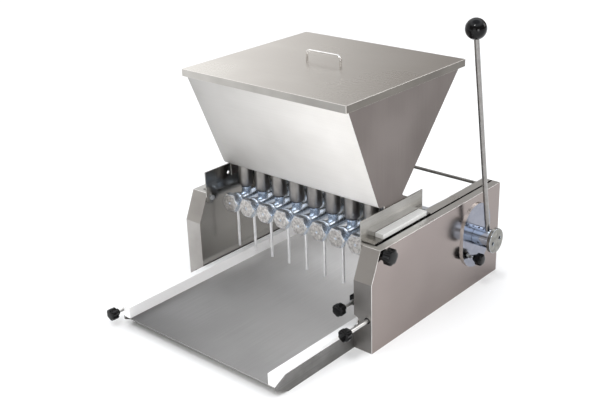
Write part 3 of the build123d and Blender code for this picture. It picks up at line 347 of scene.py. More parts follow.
def cast(name, colour, worn, metallic, roughness, ior=1.5, grain=0.6 * MM, depth=0.02 * MM, patch=7 * MM):
    """Plated, moulded or cast surface: almost one colour, uneven in gloss, with a fine skin."""
    material, tree = blank(name)
    place = add(tree, "ShaderNodeTexCoord").outputs["Object"]
    skin = add(tree, "ShaderNodeTexNoise", {"Vector": place, "Scale": 1 / grain, "Detail": 2.0})
    patches = add(tree, "ShaderNodeTexNoise", {"Vector": place, "Scale": 1 / patch, "Detail": 3.0})
    tone = add(tree, "ShaderNodeMix", {
        0: patches.outputs[0], 6: linear(colour), 7: linear(worn),
    }, data_type="RGBA")
    gloss = add(tree, "ShaderNodeMapRange", {
        "Value": patches.outputs[0], "From Min": 0.3, "From Max": 0.7,
        "To Min": roughness[0], "To Max": roughness[1],
    })
    relief = add(tree, "ShaderNodeBump", {"Height": skin.outputs[0], "Strength": 0.2, "Distance": depth})
    body = add(tree, "ShaderNodeBsdfPrincipled", {
        "Base Color": tone.outputs[2], "Roughness": gloss.outputs[0], "Normal": relief.outputs[0],
        "Metallic": metallic, "IOR": ior,
    })
    add(tree, "ShaderNodeOutputMaterial", {"Surface": body.outputs[0]})
    return material


def node_tree(name, made, **inputs):
    """New geometry tree that gives one geometry, with inputs of the kinds named, and the inputs' sockets."""
    tree = bpy.data.node_groups.new(name, "GeometryNodeTree")
    for label, kind in inputs.items():
        tree.interface.new_socket(
            label.replace("_", " "), in_out="INPUT", socket_type="NodeSocket" + kind,
        )
    tree.interface.new_socket(made, in_out="OUTPUT", socket_type="NodeSocketGeometry")
    return tree, add(tree, "NodeGroupInput").outputs


def bar(tree, sides, radius, depth, lift):
    """Hexagonal or round bar of a fastener, with its middle lifted off the seat by a share of its depth."""
    solid = add(tree, "GeometryNodeMeshCylinder", {"Vertices": sides, "Radius": radius, "Depth": depth})
    height = add(tree, "ShaderNodeMath", {0: depth, 1: lift}, operation="MULTIPLY")
    shift = add(tree, "ShaderNodeCombineXYZ", {"Z": height.outputs[0]})
    moved = add(tree, "GeometryNodeTransform", {0: solid.outputs[0], "Translation": shift.outputs[0]})
    return moved.outputs[0]


def set_on_places(tree, given, solids):
    """End of a tree of fasteners: the solids joined, set on each place and turned the way it faces."""
    one = add(tree, "GeometryNodeJoinGeometry", {0: solids})
    way = add(tree, "GeometryNodeInputNamedAttribute", {"Name": "facing"}, data_type="FLOAT_VECTOR")
    turn = add(tree, "FunctionNodeAlignRotationToVector", {"Vector": way.outputs[0]}, axis="Z")
    spread = add(tree, "GeometryNodeInstanceOnPoints", {
        "Points": given["Places"], "Instance": one.outputs[0], "Rotation": turn.outputs[0],
    })
    solid = add(tree, "GeometryNodeRealizeInstances", {0: spread.outputs[0]})
    plated = add(tree, "GeometryNodeSetMaterial", {"Geometry": solid.outputs[0], "Material": given["Metal"]})
    add(tree, "NodeGroupOutput", {0: plated.outputs[0]})


zinc = cast("steel, zinc plated", "#C9CCD0", "#A4A8AD", 1.0, (0.24, 0.40), patch=4 * MM)

ON_SEAT, UNDER_SEAT, ON_HEAD = 0.5, -0.5, 1.0
CROWN_SHARE, FLATS_SHARE = 0.46, 0.9
bolts, given = node_tree(
    "hexagon bolts", "Bolts", Places="Geometry", Across_Flats="Float", Head="Float", Shank_Radius="Float",
    Shank="Float", Metal="Material",
)
corner = add(bolts, "ShaderNodeMath", {0: given["Across Flats"], 1: math.sqrt(3)}, operation="DIVIDE")
crown = add(bolts, "ShaderNodeMath", {0: given["Across Flats"], 1: CROWN_SHARE}, operation="MULTIPLY")
low_head = add(bolts, "ShaderNodeMath", {0: given["Head"], 1: FLATS_SHARE}, operation="MULTIPLY")
set_on_places(bolts, given, [
    bar(bolts, 6, corner.outputs[0], low_head.outputs[0], ON_SEAT),
    bar(bolts, 24, crown.outputs[0], given["Head"], ON_SEAT),
    bar(bolts, 16, given["Shank Radius"], given["Shank"], UNDER_SEAT),
])

buttons, given = node_tree(
    "socket screws", "Screws", Places="Geometry", Head_Radius="Float", Head="Float", Socket="Float",
    Shank_Radius="Float", Shank="Float", Metal="Material",
)
head = bar(buttons, 32, given["Head Radius"], given["Head"], ON_SEAT)
key = bar(buttons, 6, given["Socket"], given["Head"], ON_HEAD)
shank = bar(buttons, 16, given["Shank Radius"], given["Shank"], UNDER_SEAT)
broached = add(buttons, "GeometryNodeMeshBoolean", {"Mesh 1": head, "Mesh 2": key}, operation="DIFFERENCE")
set_on_places(buttons, given, [broached.outputs[0], shank])

M6_BOLT = {"Across Flats": 10 * MM, "Head": 4 * MM, "Shank Radius": 3 * MM, "Metal": zinc}
RAIL_FACE, RAIL_BOLT_Z, RAIL_BOLTS = 200, 10.25, (30, 156, 282, 408)
STRIP_MIDDLE, STRIP_BOLT_Z, STRIP_BOLTS = 192, 20.5, (-156, 22, 200, 378)
COVER_SCREW_X, COVER_BACK, COVER_SCREWS = 214.5, 438, (36, 101, 166)
rail_bolts = both_sides([(at(RAIL_FACE, y, RAIL_BOLT_Z), (-1, 0, 0)) for y in RAIL_BOLTS])
strip_bolts = both_sides([(at(STRIP_MIDDLE, y, STRIP_BOLT_Z), (0, 0, -1)) for y in STRIP_BOLTS])
cover_screws = both_sides([(at(COVER_SCREW_X, COVER_BACK, z), (0, 1, 0)) for z in COVER_SCREWS])
frame_bolts = built(
    "zinc_frame_bolts", bolts, {**M6_BOLT, "Shank": 6.4 * MM},
    marked("frame_bolt_places", rail_bolts + strip_bolts),
)
finished(frame_bolts, [zinc], 0.4 * MM, limit="ANGLE")
riding(frame_bolts, "base", "steel", "frame_screws")
cover_buttons = built("zinc_cover_screws", buttons, {
    "Head Radius": 4 * MM, "Head": 2.4 * MM, "Socket": 1.5 * MM, "Shank Radius": 2 * MM, "Shank": 7.4 * MM,
    "Metal": zinc,
}, marked("cover_screw_places", cover_screws))
finished(cover_buttons, [zinc], 0.7 * MM, segments=3, limit="ANGLE")
riding(cover_buttons, "base", "steel")


# Tie rod: a drawn steel rod across the back, nutted inside both frames, that keeps the boxes apart.
# It comes out of the die dull grey, with faint lines along its length.
def drawn(name, bright, dull, along, roughness, line=0.9 * MM):
    """Metal drawn or ground along one axis: a dull sheen with fine lines, coarser than real to show."""
    return brushed_sheet(name, bright, dull, along, roughness, cloud=12 * MM, line=line, streak=0.55)


dark_steel = drawn("steel, bright drawn", "#7E7C78", "#676561", "X", (0.26, 0.38))
edged("tie_rod", "drawn_tie_rod", [dark_steel], 0.4 * MM, "steel")

# Brackets: bent stainless angles that carry the hopper, bolted on the ledges under square clamp bars.
# The mill skin is left on, dull and dark; the clamp bars are sawn aluminium with a pale blasted skin.
bracket_sheet = brushed_sheet(
    "stainless steel, mill finish bracket", "#9C9A96", "#8B8985", "Y", (0.18, 0.26), cloud=50 * MM,
)
bar_skin = cast(
    "aluminium, blasted bar", "#FBFBFA", "#EFEFED", 1.0, (0.62, 0.72), grain=1.2 * MM, depth=0.1 * MM,
)
for bracket in ("left_bracket", "right_bracket"):
    edged(bracket, "bent_" + bracket, [bracket_sheet, burnished], 1.0 * MM, "stainless_sheet")
for bar in ("left_clamp_bar", "right_clamp_bar"):
    edged(bar, "sawn_" + bar, [bar_skin], 0.6 * MM, "aluminium")
LEDGE_BOLT_X, LEDGE_UNDER, FLANGE_TOP = 213.75, 199, 204.5
BAR_BOLTS, REAR_BOLT = (90, 176), 208.5
BRACKET_FACE, CLAMP_Y, CLAMP_Z = 200, 36, 191
ledge_bolts = [(at(LEDGE_BOLT_X, y, LEDGE_UNDER), (0, 0, -1)) for y in BAR_BOLTS]
ledge_bolts.append((at(LEDGE_BOLT_X, REAR_BOLT, FLANGE_TOP), (0, 0, 1)))
clamp_bolt = (at(-BRACKET_FACE, CLAMP_Y, CLAMP_Z), (1, 0, 0))
hopper_bolts = built(
    "zinc_hopper_bolts", bolts, {**M6_BOLT, "Shank": 9.5 * MM},
    marked("hopper_bolt_places", both_sides(ledge_bolts) + [clamp_bolt]),
)
finished(hopper_bolts, [zinc], 0.4 * MM, limit="ANGLE")
riding(hopper_bolts, "base", "steel", "hopper_screws")

# Cylinder rail: a stainless plate bored for the eight cylinders, fixed between the brackets.
# It is milled to size and stays dark under the hopper.
edged("cylinder_rail", "bored_cylinder_rail", [bracket_sheet, burnished], 0.5 * MM, "stainless_sheet")

# Dosing cylinders: eight slim bodies turned from stainless bar, with two collars in front and a neck on top.
# They are polished on the lathe to a bright chrome, and their thicker ends are seated in the rail; their blue
# tint is a painted reflection of cool light.
# Bronze glands are pressed in behind.
ALONG_X, ALONG_Y, ALONG_Z = (1, 0, 0), (0, 1, 0), (0, 0, 1)
UNIT_PITCH = 47 * MM
UNIT_COUNT = 8
FIRST_UNIT = at(-164.5, 65, 180.5)
PAST_FIRST = FIRST_UNIT.x + UNIT_PITCH / 2
FEED_AXIS = FIRST_UNIT + Vector((0, 39, 0)) * MM
BARREL_RADIUS, BARREL_BORE, BARREL_START, BARREL_LENGTH = 12, 10, 16.5, 127
SEAT_RADIUS, SEAT_START, SEAT_RISE = 14, 104, 2
COLLAR_RADIUS, COLLAR_SOFT, COLLARS = 16, 2.0, ((1.5, 6.5), (8.5, 16))
NECK_RADIUS, NECK_BORE, NECK_TOP = 10.2, 8.6, 23.5
SADDLE = 11.6
ANGLES = [2 * math.pi * k / 72 for k in range(72)]


def hoop(centre, axis, radius, height):
    """Loop of points about an axis; radius and height are millimetres, or rules that give them by angle."""
    turn = Vector(ALONG_Z).rotation_difference(Vector(axis))
    points = []
    for angle in ANGLES:
        r, h = [value(angle) if callable(value) else value for value in (radius, height)]
        points.append(centre + turn @ Vector((r * math.cos(angle), r * math.sin(angle), h)) * MM)
    return points


def skinned(name, *shells, ring=True):
    """Mesh over the loops of each shell: a ring joins its last loop to its first, a solid has filled ends."""
    shape = bmesh.new()
    for loops in shells:
        rows = [[shape.verts.new(point) for point in loop] for loop in loops]
        for inner, outer in zip(rows, rows[1:] + rows[:1] if ring else rows[1:]):
            for k in range(len(inner)):
                shape.faces.new((inner[k - 1], inner[k], outer[k], outer[k - 1]))
        if not ring:
            shape.faces.new(rows[0])
            shape.faces.new(rows[-1])
    bmesh.ops.recalc_face_normals(shape, faces=shape.faces)
    mesh = bpy.data.meshes.new(name)
    shape.to_mesh(mesh)
    shape.free()
    return mesh


def saddle(radius):
    """Loop round the feed axis that dips just into the barrel."""
    return hoop(
        FEED_AXIS, ALONG_Z, radius, lambda angle: math.sqrt(SADDLE ** 2 - (radius * math.cos(angle)) ** 2),
    )


def collar(start, end):
    """Outline of a collar with rounded edges, as radius and height in millimetres."""
    low = COLLAR_RADIUS - COLLAR_SOFT
    quarter = [math.radians(15 * k) for k in range(7)]
    arc = [(COLLAR_SOFT * math.cos(turn), COLLAR_SOFT * math.sin(turn)) for turn in quarter]
    front = [(low + side, start + COLLAR_SOFT - far) for far, side in arc]
    return front + [(low + far, end - COLLAR_SOFT + side) for far, side in arc]


outline = [(BARREL_BORE, 0), (SEAT_RADIUS, 0)] + [point for ends in COLLARS for point in collar(*ends)]
outline += [(BARREL_RADIUS, BARREL_START), (BARREL_RADIUS, SEAT_START), (SEAT_RADIUS, SEAT_START + SEAT_RISE)]
outline += [(SEAT_RADIUS, BARREL_LENGTH), (BARREL_BORE, BARREL_LENGTH)]
barrel = [hoop(FIRST_UNIT, ALONG_Y, radius, height) for radius, height in outline]
neck = [saddle(NECK_BORE), saddle(NECK_RADIUS)]
neck += [hoop(FEED_AXIS, ALONG_Z, radius, NECK_TOP) for radius in (NECK_RADIUS, NECK_BORE)]

row, given = node_tree(
    "row of dosing units", "Row", Unit="Geometry", Count="Int", Pitch="Float", Metal="Material",
)
step = add(row, "ShaderNodeCombineXYZ", {"X": given["Pitch"]})
stations = add(row, "GeometryNodeMeshLine", {"Count": given["Count"], "Offset": step.outputs[0]})
own_place = add(row, "GeometryNodeInputPosition")
unit = add(row, "GeometryNodeStoreNamedAttribute", {
    "Geometry": given["Unit"], "Name": "unit place", "Value": own_place.outputs[0],
}, data_type="FLOAT_VECTOR")
units = add(row, "GeometryNodeInstanceOnPoints", {"Points": stations.outputs[0], "Instance": unit.outputs[0]})
solid = add(row, "GeometryNodeRealizeInstances", {0: units.outputs[0]})
metal = add(row, "GeometryNodeSetMaterial", {"Geometry": solid.outputs[0], "Material": given["Metal"]})
add(row, "NodeGroupOutput", {0: metal.outputs[0]})


def in_row(name, materials, start, bend, slot, nodes, segments=2, limit="WEIGHT", pick=None):
    """Row of eight like pieces made from the first one; it stands for all the nodes named."""
    values = {"Count": UNIT_COUNT, "Pitch": UNIT_PITCH, "Metal": materials[0]}
    piece = built(name, row, values, start)
    finished(piece, materials, bend, segments, limit, pick)
    riding(piece, frame["nodes"][nodes[0]]["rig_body"], slot, *nodes)


def lathed(name, bright, dull, roughness, axis, centre, fans, attribute=None, ring=0.7 * MM, stain=9 * MM):
    """Metal turned on a lathe: rings about an axis, and the bright fans that a faced end throws back.

    Real feed marks are about 0.1 mm apart; they are drawn wider to show.
    """
    material, tree = blank(name)
    if attribute:
        place = add(tree, "ShaderNodeAttribute", attribute_name=attribute).outputs["Vector"]
    else:
        place = add(tree, "ShaderNodeTexCoord").outputs["Object"]
    from_centre = add(tree, "ShaderNodeVectorMath", {0: place, 1: centre}, operation="SUBTRACT")
    across = [1 - abs(part) for part in axis]
    spoke = add(tree, "ShaderNodeVectorMath", {0: from_centre.outputs[0], 1: across}, operation="MULTIPLY")
    radius = add(tree, "ShaderNodeVectorMath", {0: spoke.outputs[0]}, operation="LENGTH")
    along = add(tree, "ShaderNodeVectorMath", {0: from_centre.outputs[0], 1: axis}, operation="DOT_PRODUCT")
    feed = add(tree, "ShaderNodeMath", {
        0: radius.outputs["Value"], 1: along.outputs["Value"],
    }, operation="ADD")
    rings = add(tree, "ShaderNodeTexNoise", {"W": feed.outputs[0], "Scale": 1 / ring, "Detail": 2.0},
                noise_dimensions="1D")
    here = add(tree, "ShaderNodeTexCoord").outputs["Object"]
    stains = add(tree, "ShaderNodeTexNoise", {"Vector": here, "Scale": 1 / stain, "Detail": 3.0})
    mixed = add(tree, "ShaderNodeMix", {0: 0.35, 2: stains.outputs[0], 3: rings.outputs[0]})
    amount = add(tree, "ShaderNodeMapRange", {"Value": mixed.outputs[0], "From Min": 0.35, "From Max": 0.65})
    tone = add(tree, "ShaderNodeMix", {
        0: amount.outputs[0], 6: linear(dull), 7: linear(bright),
    }, data_type="RGBA")
    gloss = add(tree, "ShaderNodeMapRange", {
        "Value": rings.outputs[0], "From Min": 0.3, "From Max": 0.7,
        "To Min": roughness[0], "To Max": roughness[1],
    })
    relief = add(tree, "ShaderNodeBump", {
        "Height": rings.outputs[0], "Strength": 0.05, "Distance": 0.03 * MM,
    })
    outward = add(tree, "ShaderNodeVectorMath", {0: spoke.outputs[0]}, operation="NORMALIZE")
    grain = add(tree, "ShaderNodeVectorMath", {0: outward.outputs[0], 1: axis}, operation="ADD")
    metal = add(tree, "ShaderNodeBsdfPrincipled", {
        "Base Color": tone.outputs[2], "Roughness": gloss.outputs[0], "Normal": relief.outputs[0],
        "Metallic": 1.0, "Anisotropic": fans, "Tangent": grain.outputs[0],
    })
    add(tree, "ShaderNodeOutputMaterial", {"Surface": metal.outputs[0]})
    return material


# Painted reflection: the chrome's colour is tinted blue for the cool light it reflects.
cylinder_metal = lathed(
    "stainless steel, lathe polished", "#DAE3EE", "#C6D1DF", (0.22, 0.30), ALONG_Y, FIRST_UNIT, 0.0,
    "unit place", stain=30 * MM,
)
bronze = lathed("bronze, turned", "#B98B4E", "#9A713C", (0.22, 0.32), ALONG_Y, FIRST_UNIT, 0.3, "unit place")
in_row(
    "turned_dosing_cylinders", [cylinder_metal], skinned("first_cylinder", barrel, neck), 0.3 * MM,
    "stainless_turned", [f"dosing_cylinder_{number}" for number in range(1, UNIT_COUNT + 1)],
    limit="ANGLE",
)
in_row(
    "turned_rod_glands", [bronze], merged("rod_glands", 0.3 * MM, keep=PAST_FIRST), 0.3 * MM,
    "bearing_bronze", ["rod_glands"],
)

# End caps: hexagonal stainless caps with a faced front and a centre hole, screwed into the cylinders' fronts.
# The faces are stained and catch the light in fans; the flats are polished like the cylinders.
CAP_FLATS, CAP_DEPTH = 37, 12
PLUG_RADIUS, PLUG_DEPTH = 9.95, 5.5
CHAMFER_START = 17.4
CHAMFER_FALL = math.tan(math.radians(30))
FACE_RINGS = ((1.4, 1.6), (1.6, 0.5), (2.6, 0), (CHAMFER_START, 0))


def hexagon_radius(angle):
    """Distance from a cap's axis to its flats at an angle from a corner."""
    return CAP_FLATS / 2 / math.cos(angle % (math.pi / 3) - math.pi / 6)


def chamfer_edge(angle):
    """Height of the chamfer's outer edge at an angle from a corner."""
    return (hexagon_radius(angle) - CHAMFER_START) * CHAMFER_FALL - CAP_DEPTH


cap = [hoop(FIRST_UNIT, ALONG_Y, radius, depth - CAP_DEPTH) for radius, depth in FACE_RINGS]
cap += [hoop(FIRST_UNIT, ALONG_Y, hexagon_radius, height) for height in (chamfer_edge, 0)]
cap += [hoop(FIRST_UNIT, ALONG_Y, PLUG_RADIUS, height) for height in (0, PLUG_DEPTH)]
cap_metal = lathed(
    "stainless steel, faced cap", "#DCD9D6", "#8B8886", (0.30, 0.44), ALONG_Y, FIRST_UNIT, 0.6, "unit place",
    stain=5 * MM,
)
in_row(
    "turned_end_caps", [cap_metal, cylinder_metal], skinned("first_cap", cap, ring=False), 0.3 * MM,
    "stainless_turned", ["end_caps"], limit="ANGLE", pick=lambda normal: 0 if normal.y < -0.3 else 1,
)

# Needles: thin drawn stainless tubes in turned ferrules, pushed up under the front collars.
# They are pale satin and straight, so that they stand out against the table.
needle_metal = drawn("stainless steel, drawn needle", "#F6F6F7", "#E4E4E6", "Z", (0.36, 0.46))
in_row(
    "drawn_needles", [needle_metal], merged("needles", 0.6 * MM, rim=0.6 * MM, keep=PAST_FIRST), 0.6 * MM,
    "stainless_turned", ["needles"],
)

# Feed tubes: stainless tubes welded to the hopper floor, with swaged feet pushed into the cylinders' necks.
# The drawn skin is left as it is, a plain cool grey; a moulded rubber ring closes each neck, and its
# near-black colour also paints the shade in the gap at each tube's foot.
TUBE_FOOT = ((7, 15), (8.5, 15), (8.5, 26.5), (12.6, 26.7), (14, 27.5), (14.8, 28.9), (15, 30.5))
TUBE_WELD = ((15, 71.2), (15.5, 72), (16.4, 73), (7, 73))
SEAL_RING = ((8.6, 23.5), (11.2, 23.5), (11.2, 26.5), (8.6, 26.5))
tube = [hoop(FEED_AXIS, ALONG_Z, radius, height) for radius, height in TUBE_FOOT + TUBE_WELD]
seal = [hoop(FEED_AXIS, ALONG_Z, radius, height) for radius, height in SEAL_RING]
tube_metal = brushed_sheet(
    "stainless steel, drawn feed tube", "#8D8A87", "#807D7B", "Z", (0.30, 0.38), cloud=25 * MM, streak=0.1,
)
in_row(
    "drawn_feed_tubes", [tube_metal], skinned("first_tube", tube), 0.4 * MM, "stainless_turned",
    ["feed_tubes"], limit="ANGLE",
)
# Painted shade: on the tube feet this dark rubber stands for the shaded gap where tube meets barrel.
seal_rubber = cast("rubber, moulded seal", "#1D1F27", "#2B2D36", 0.0, (0.38, 0.55), ior=1.52)
in_row(
    "moulded_tube_seals", [seal_rubber], skinned("first_seal", seal), 1.0 * MM, "seal_rubber", ["tube_seals"],
    segments=4, limit="ANGLE",
)

# Hopper: a stainless wrap bent into front, floor and back, with two flat end plates welded into it.
# The wrap is a bright sheet with soft cloudy reflections, painted darker towards its left end as shade; the
# end plates are brushed upright, and their much darker colour is painted shade.
hopper_low, hopper_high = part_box("hopper")
# Painted shade: the wrap's colour halves towards its left end.
wrap_sheet = brushed_sheet(
    "stainless steel, bright hopper wrap", "#FCFAF7", "#F4F2EF", "X", (0.62, 0.70), cloud=120 * MM,
    streak=0.2, fade=dict(way=(1, 0, 0), dull=hopper_low.x, bright=hopper_high.x - 60 * MM, share=0.5),
)
# Painted shade: the end plates' colour is far darker than the wrap's.
end_sheet = brushed_sheet(
    "stainless steel, hopper end plate", "#7A7370", "#716A67", "Z", (0.34, 0.44), cloud=150 * MM, streak=0.2,
)
edged(
    "hopper", "welded_hopper", [wrap_sheet, end_sheet, burnished], 0.8 * MM, "stainless_sheet",
    pick=lambda normal: 1 if abs(normal.x) > 0.5 else 0,
)

# Lid: a loose stainless tray folded down over the hopper's rim, with corner seams welded and ground.
# The skirt is rougher than the top; the top is painted darker towards the back and the lever side, the skirt
# more so, and the skirt's ends darkest, all as painted shade.
# A wire handle is bent from rod, pushed through the top and nutted below.
lid_low, lid_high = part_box("lid")
# Painted shade: the lid's colour falls towards the back and the lever side.
LID_FADE = Vector((-1, -0.5, 0))
lid_sheet = brushed_sheet(
    "stainless steel, satin lid", "#E5E2DD", "#DBD7D2", "X", (0.26, 0.32), cloud=180 * MM, line=1.2 * MM,
    streak=0.2,
    fade=dict(way=LID_FADE, dull=LID_FADE.dot(lid_high), bright=LID_FADE.dot(lid_low), share=0.66),
)
skirt_sheet = brushed_sheet(
    "stainless steel, folded lid skirt", "#C4C1BC", "#BAB7B2", "X", (0.36, 0.44), cloud=60 * MM, streak=0.2,
    fade=dict(way=(-1, 0, 0), dull=-lid_high.x, bright=-lid_low.x, share=0.6),
)
# Painted shade: the skirt's ends are given a far darker sheet.
skirt_end = brushed_sheet(
    "stainless steel, ground lid skirt", "#7A7670", "#716D68", "Y", (0.36, 0.44), streak=0.2,
)


def lid_finish(normal):
    """Material number on the lid: satin top, folded skirt or its ends, with the skirt and its ends darker
    sheets that paint their shade.
    """
    if abs(normal.z) > 0.5:
        return 0
    return 2 if abs(normal.x) > 0.5 else 1


edged(
    "lid", "folded_lid", [lid_sheet, skirt_sheet, skirt_end, lid_sheet], 1.0 * MM, "stainless_sheet",
    segments=3, pick=lid_finish,
)
wire_metal = drawn("stainless steel, bent wire", "#E8E6E3", "#CDCBC8", "X", (0.14, 0.22))
edged("lid_handle", "bent_lid_handle", [wire_metal], 0.4 * MM, "stainless_turned")
edged("handle_nuts", "turned_handle_nuts", [wire_metal], 0.4 * MM, "stainless_turned")

# Piston carriage: eight white pistons with rubber seals on ground rods, nutted into an aluminium yoke.
# Two milled links take the push from drawn steel pins, which reach through the frames into the boxes.
pale_aluminium = drawn("aluminium, milled", "#CDD1D7", "#B8BDC5", "X", (0.28, 0.38), line=1.4 * MM)
rod_steel = drawn("stainless steel, ground rod", "#ECEBE9", "#D6D5D2", "Y", (0.26, 0.36))
edged("drive_pins", "drawn_drive_pins", [dark_steel], 0.5 * MM, "steel")
edged("push_links", "milled_push_links", [pale_aluminium], 0.5 * MM, "aluminium")
edged("yoke", "milled_yoke", [pale_aluminium], 0.6 * MM, "aluminium")
for node, made, material, bend, slot in (
    ("piston_rods", "ground_", rod_steel, 0.3 * MM, "stainless_turned"),
    ("pistons", "turned_", white_strip, 0.4 * MM, "white_plastic"),
    ("piston_seals", "moulded_", seal_rubber, 0.4 * MM, "seal_rubber"),
):
    in_row(made + node, [material], merged(node, bend, keep=PAST_FIRST), bend, slot, [node])

# Lever shaft: ground steel across both boxes in bronze bushes, with a cut steel crank inside each box.
# The shaft is dull from use, and the cranks keep the dark skin of the plate they were cut from.
SHAFT_Y, SHAFT_Z = 347, 116
SHAFT = at(0, SHAFT_Y, SHAFT_Z)
shaft_bronze = lathed("bronze, turned bush", "#B98B4E", "#9A713C", (0.22, 0.32), ALONG_X, SHAFT, 0.3)
crank_plate = cast("steel, laser cut plate", "#6E6D6B", "#5A5957", 1.0, (0.36, 0.50), patch=14 * MM)
edged("lever_shaft", "ground_lever_shaft", [dark_steel], 0.6 * MM, "steel")
edged("shaft_bushes", "turned_shaft_bushes", [shaft_bronze], 0.4 * MM, "bearing_bronze")
for crank in ("left_crank", "right_crank"):
    edged(crank, "cut_" + crank, [crank_plate], 0.5 * MM, "steel")

# Dial, hub and end disc: an oblong aluminium plate with a turned hub and disc in front; the blue tint of
# plate and hub is a painted reflection of cool light.
# The hub is polished and shows floor, walls and ceiling as bands; the faced disc is duller.
# The dial is fixed to the cover, and the hub is held on the shaft by its disc and by grub screws.
dial_metal = lathed(
    "aluminium, faced dial", "#8D8F9A", "#7D808B", (0.12, 0.20), ALONG_X, SHAFT, 0.6, ring=1.2 * MM,
)
# Painted reflection: the hub's colour is tinted blue for the cool light it reflects.
hub_metal = cast("aluminium, turned and anodised hub", "#D8E4F2", "#BFCEE0", 1.0, (0.07, 0.12), patch=9 * MM)
disc_metal = lathed("aluminium, faced end disc", "#95948F", "#6F6E6A", (0.24, 0.34), ALONG_X, SHAFT, 0.6)
edged(
    "dial_plate", "faced_dial_plate", [dial_metal, burnished], 0.8 * MM, "aluminium",
    pick=lambda normal: 0 if abs(normal.x) > 0.5 else 1,
)
edged("lever_hub", "turned_lever_hub", [hub_metal], 0.7 * MM, "aluminium")
edged("hub_disc", "turned_hub_disc", [disc_metal, hub_metal], 0.9 * MM, "aluminium", segments=3)
LEVER_LEAN = math.radians(9.95)
DISC_SCREW_X, DISC_SCREWS = 287.5, (-13, 13)
GRUB_SCREWS, GRUB_SEAT = (254, 265), 15.5
lever_up = Vector((0, -math.sin(LEVER_LEAN), math.cos(LEVER_LEAN)))
lever_back = Vector((0, math.cos(LEVER_LEAN), math.sin(LEVER_LEAN)))
blackened = cast("steel, blackened screw", "#2A2A2C", "#3C3C3F", 1.0, (0.30, 0.42), patch=3 * MM)
disc_screws = built("blackened_disc_screws", buttons, {
    "Head Radius": 4 * MM, "Head": 4 * MM, "Socket": 2.3 * MM, "Shank Radius": 2.5 * MM, "Shank": 16 * MM,
    "Metal": blackened,
}, marked("disc_screw_places", [
    (at(DISC_SCREW_X, SHAFT_Y, SHAFT_Z) + lever_back * y * MM, ALONG_X) for y in DISC_SCREWS
]))
grub_screws = built("blackened_grub_screws", buttons, {
    "Head Radius": 2.5 * MM, "Head": 4 * MM, "Socket": 1.4 * MM, "Shank Radius": 2.45 * MM, "Shank": 7 * MM,
    "Metal": blackened,
}, marked("grub_screw_places", [
    (at(x, SHAFT_Y, SHAFT_Z) + lever_up * GRUB_SEAT * MM, lever_up) for x in GRUB_SCREWS
]))
for screws in (disc_screws, grub_screws):
    finished(screws, [blackened], 0.3 * MM, limit="ANGLE")
riding(disc_screws, "lever", "steel", "hub_screws")
riding(grub_screws, "lever", "steel")

# Lever: a ground steel rod pressed into the hub, with a phenolic ball screwed on its end.
# The ball is pressed in a mould and polished, so it is deep black with small sharp lights.
lever_steel = drawn("stainless steel, ground lever rod", "#979593", "#827F7D", "Z", (0.14, 0.22))
edged("lever_rod", "ground_lever_rod", [lever_steel], 0.5 * MM, "stainless_turned")

LOBE_WAVE_START, RIM_POWER = -0.4, 6.0
turned, given = node_tree(
    "turned or lobed knob", "Knob", Profile="Geometry", Around="Int", Radius="Float", Lobes="Int",
    Scallop="Float", Plastic="Material",
)
steps = add(turned, "GeometryNodeAttributeDomainSize", {0: given["Profile"]}).outputs["Point Count"]
columns = add(turned, "ShaderNodeMath", {0: given["Around"], 1: 1.0}, operation="ADD")
skin = add(turned, "GeometryNodeMeshGrid", {
    "Size X": 1.0, "Size Y": 1.0, "Vertices X": columns.outputs[0], "Vertices Y": steps,
})
sheet_place = add(turned, "GeometryNodeInputPosition")
sheet_parts = add(turned, "ShaderNodeSeparateXYZ", {0: sheet_place.outputs[0]})
share_round = add(turned, "ShaderNodeMath", {0: sheet_parts.outputs["X"], 1: 0.5}, operation="ADD")
share_up = add(turned, "ShaderNodeMath", {0: sheet_parts.outputs["Y"], 1: 0.5}, operation="ADD")
angle = add(turned, "ShaderNodeMath", {0: share_round.outputs[0], 1: 2 * math.pi}, operation="MULTIPLY")
last = add(turned, "ShaderNodeMath", {0: steps, 1: 1.0}, operation="SUBTRACT")
station = add(turned, "ShaderNodeMath", {0: share_up.outputs[0], 1: last.outputs[0]}, operation="MULTIPLY")
number = add(turned, "FunctionNodeFloatToInt", {0: station.outputs[0]}, rounding_mode="ROUND")
profile_place = add(turned, "GeometryNodeInputPosition")
sampled = add(turned, "GeometryNodeSampleIndex", {
    "Geometry": given["Profile"], "Value": profile_place.outputs[0], "Index": number.outputs[0],
}, data_type="FLOAT_VECTOR")
parts = add(turned, "ShaderNodeSeparateXYZ", {0: sampled.outputs[0]})
lobe_angle = add(turned, "ShaderNodeMath", {0: angle.outputs[0], 1: given["Lobes"]}, operation="MULTIPLY")
wave = add(turned, "ShaderNodeMath", {0: lobe_angle.outputs[0]}, operation="COSINE")
dip = add(turned, "ShaderNodeMapRange", {"Value": wave.outputs[0], "From Min": LOBE_WAVE_START})
reach = add(turned, "ShaderNodeMath", {0: parts.outputs["X"], 1: given["Radius"]}, operation="DIVIDE")
rim_only = add(turned, "ShaderNodeMath", {0: reach.outputs[0], 1: RIM_POWER}, operation="POWER")
bite = add(turned, "ShaderNodeMath", {0: dip.outputs[0], 1: rim_only.outputs[0]}, operation="MULTIPLY")
cut = add(turned, "ShaderNodeMath", {0: bite.outputs[0], 1: given["Scallop"]}, operation="MULTIPLY")
radius = add(turned, "ShaderNodeMath", {0: parts.outputs["X"], 1: cut.outputs[0]}, operation="SUBTRACT")
cosine = add(turned, "ShaderNodeMath", {0: angle.outputs[0]}, operation="COSINE")
sine = add(turned, "ShaderNodeMath", {0: angle.outputs[0]}, operation="SINE")
across = add(turned, "ShaderNodeMath", {0: radius.outputs[0], 1: cosine.outputs[0]}, operation="MULTIPLY")
aside = add(turned, "ShaderNodeMath", {0: radius.outputs[0], 1: sine.outputs[0]}, operation="MULTIPLY")
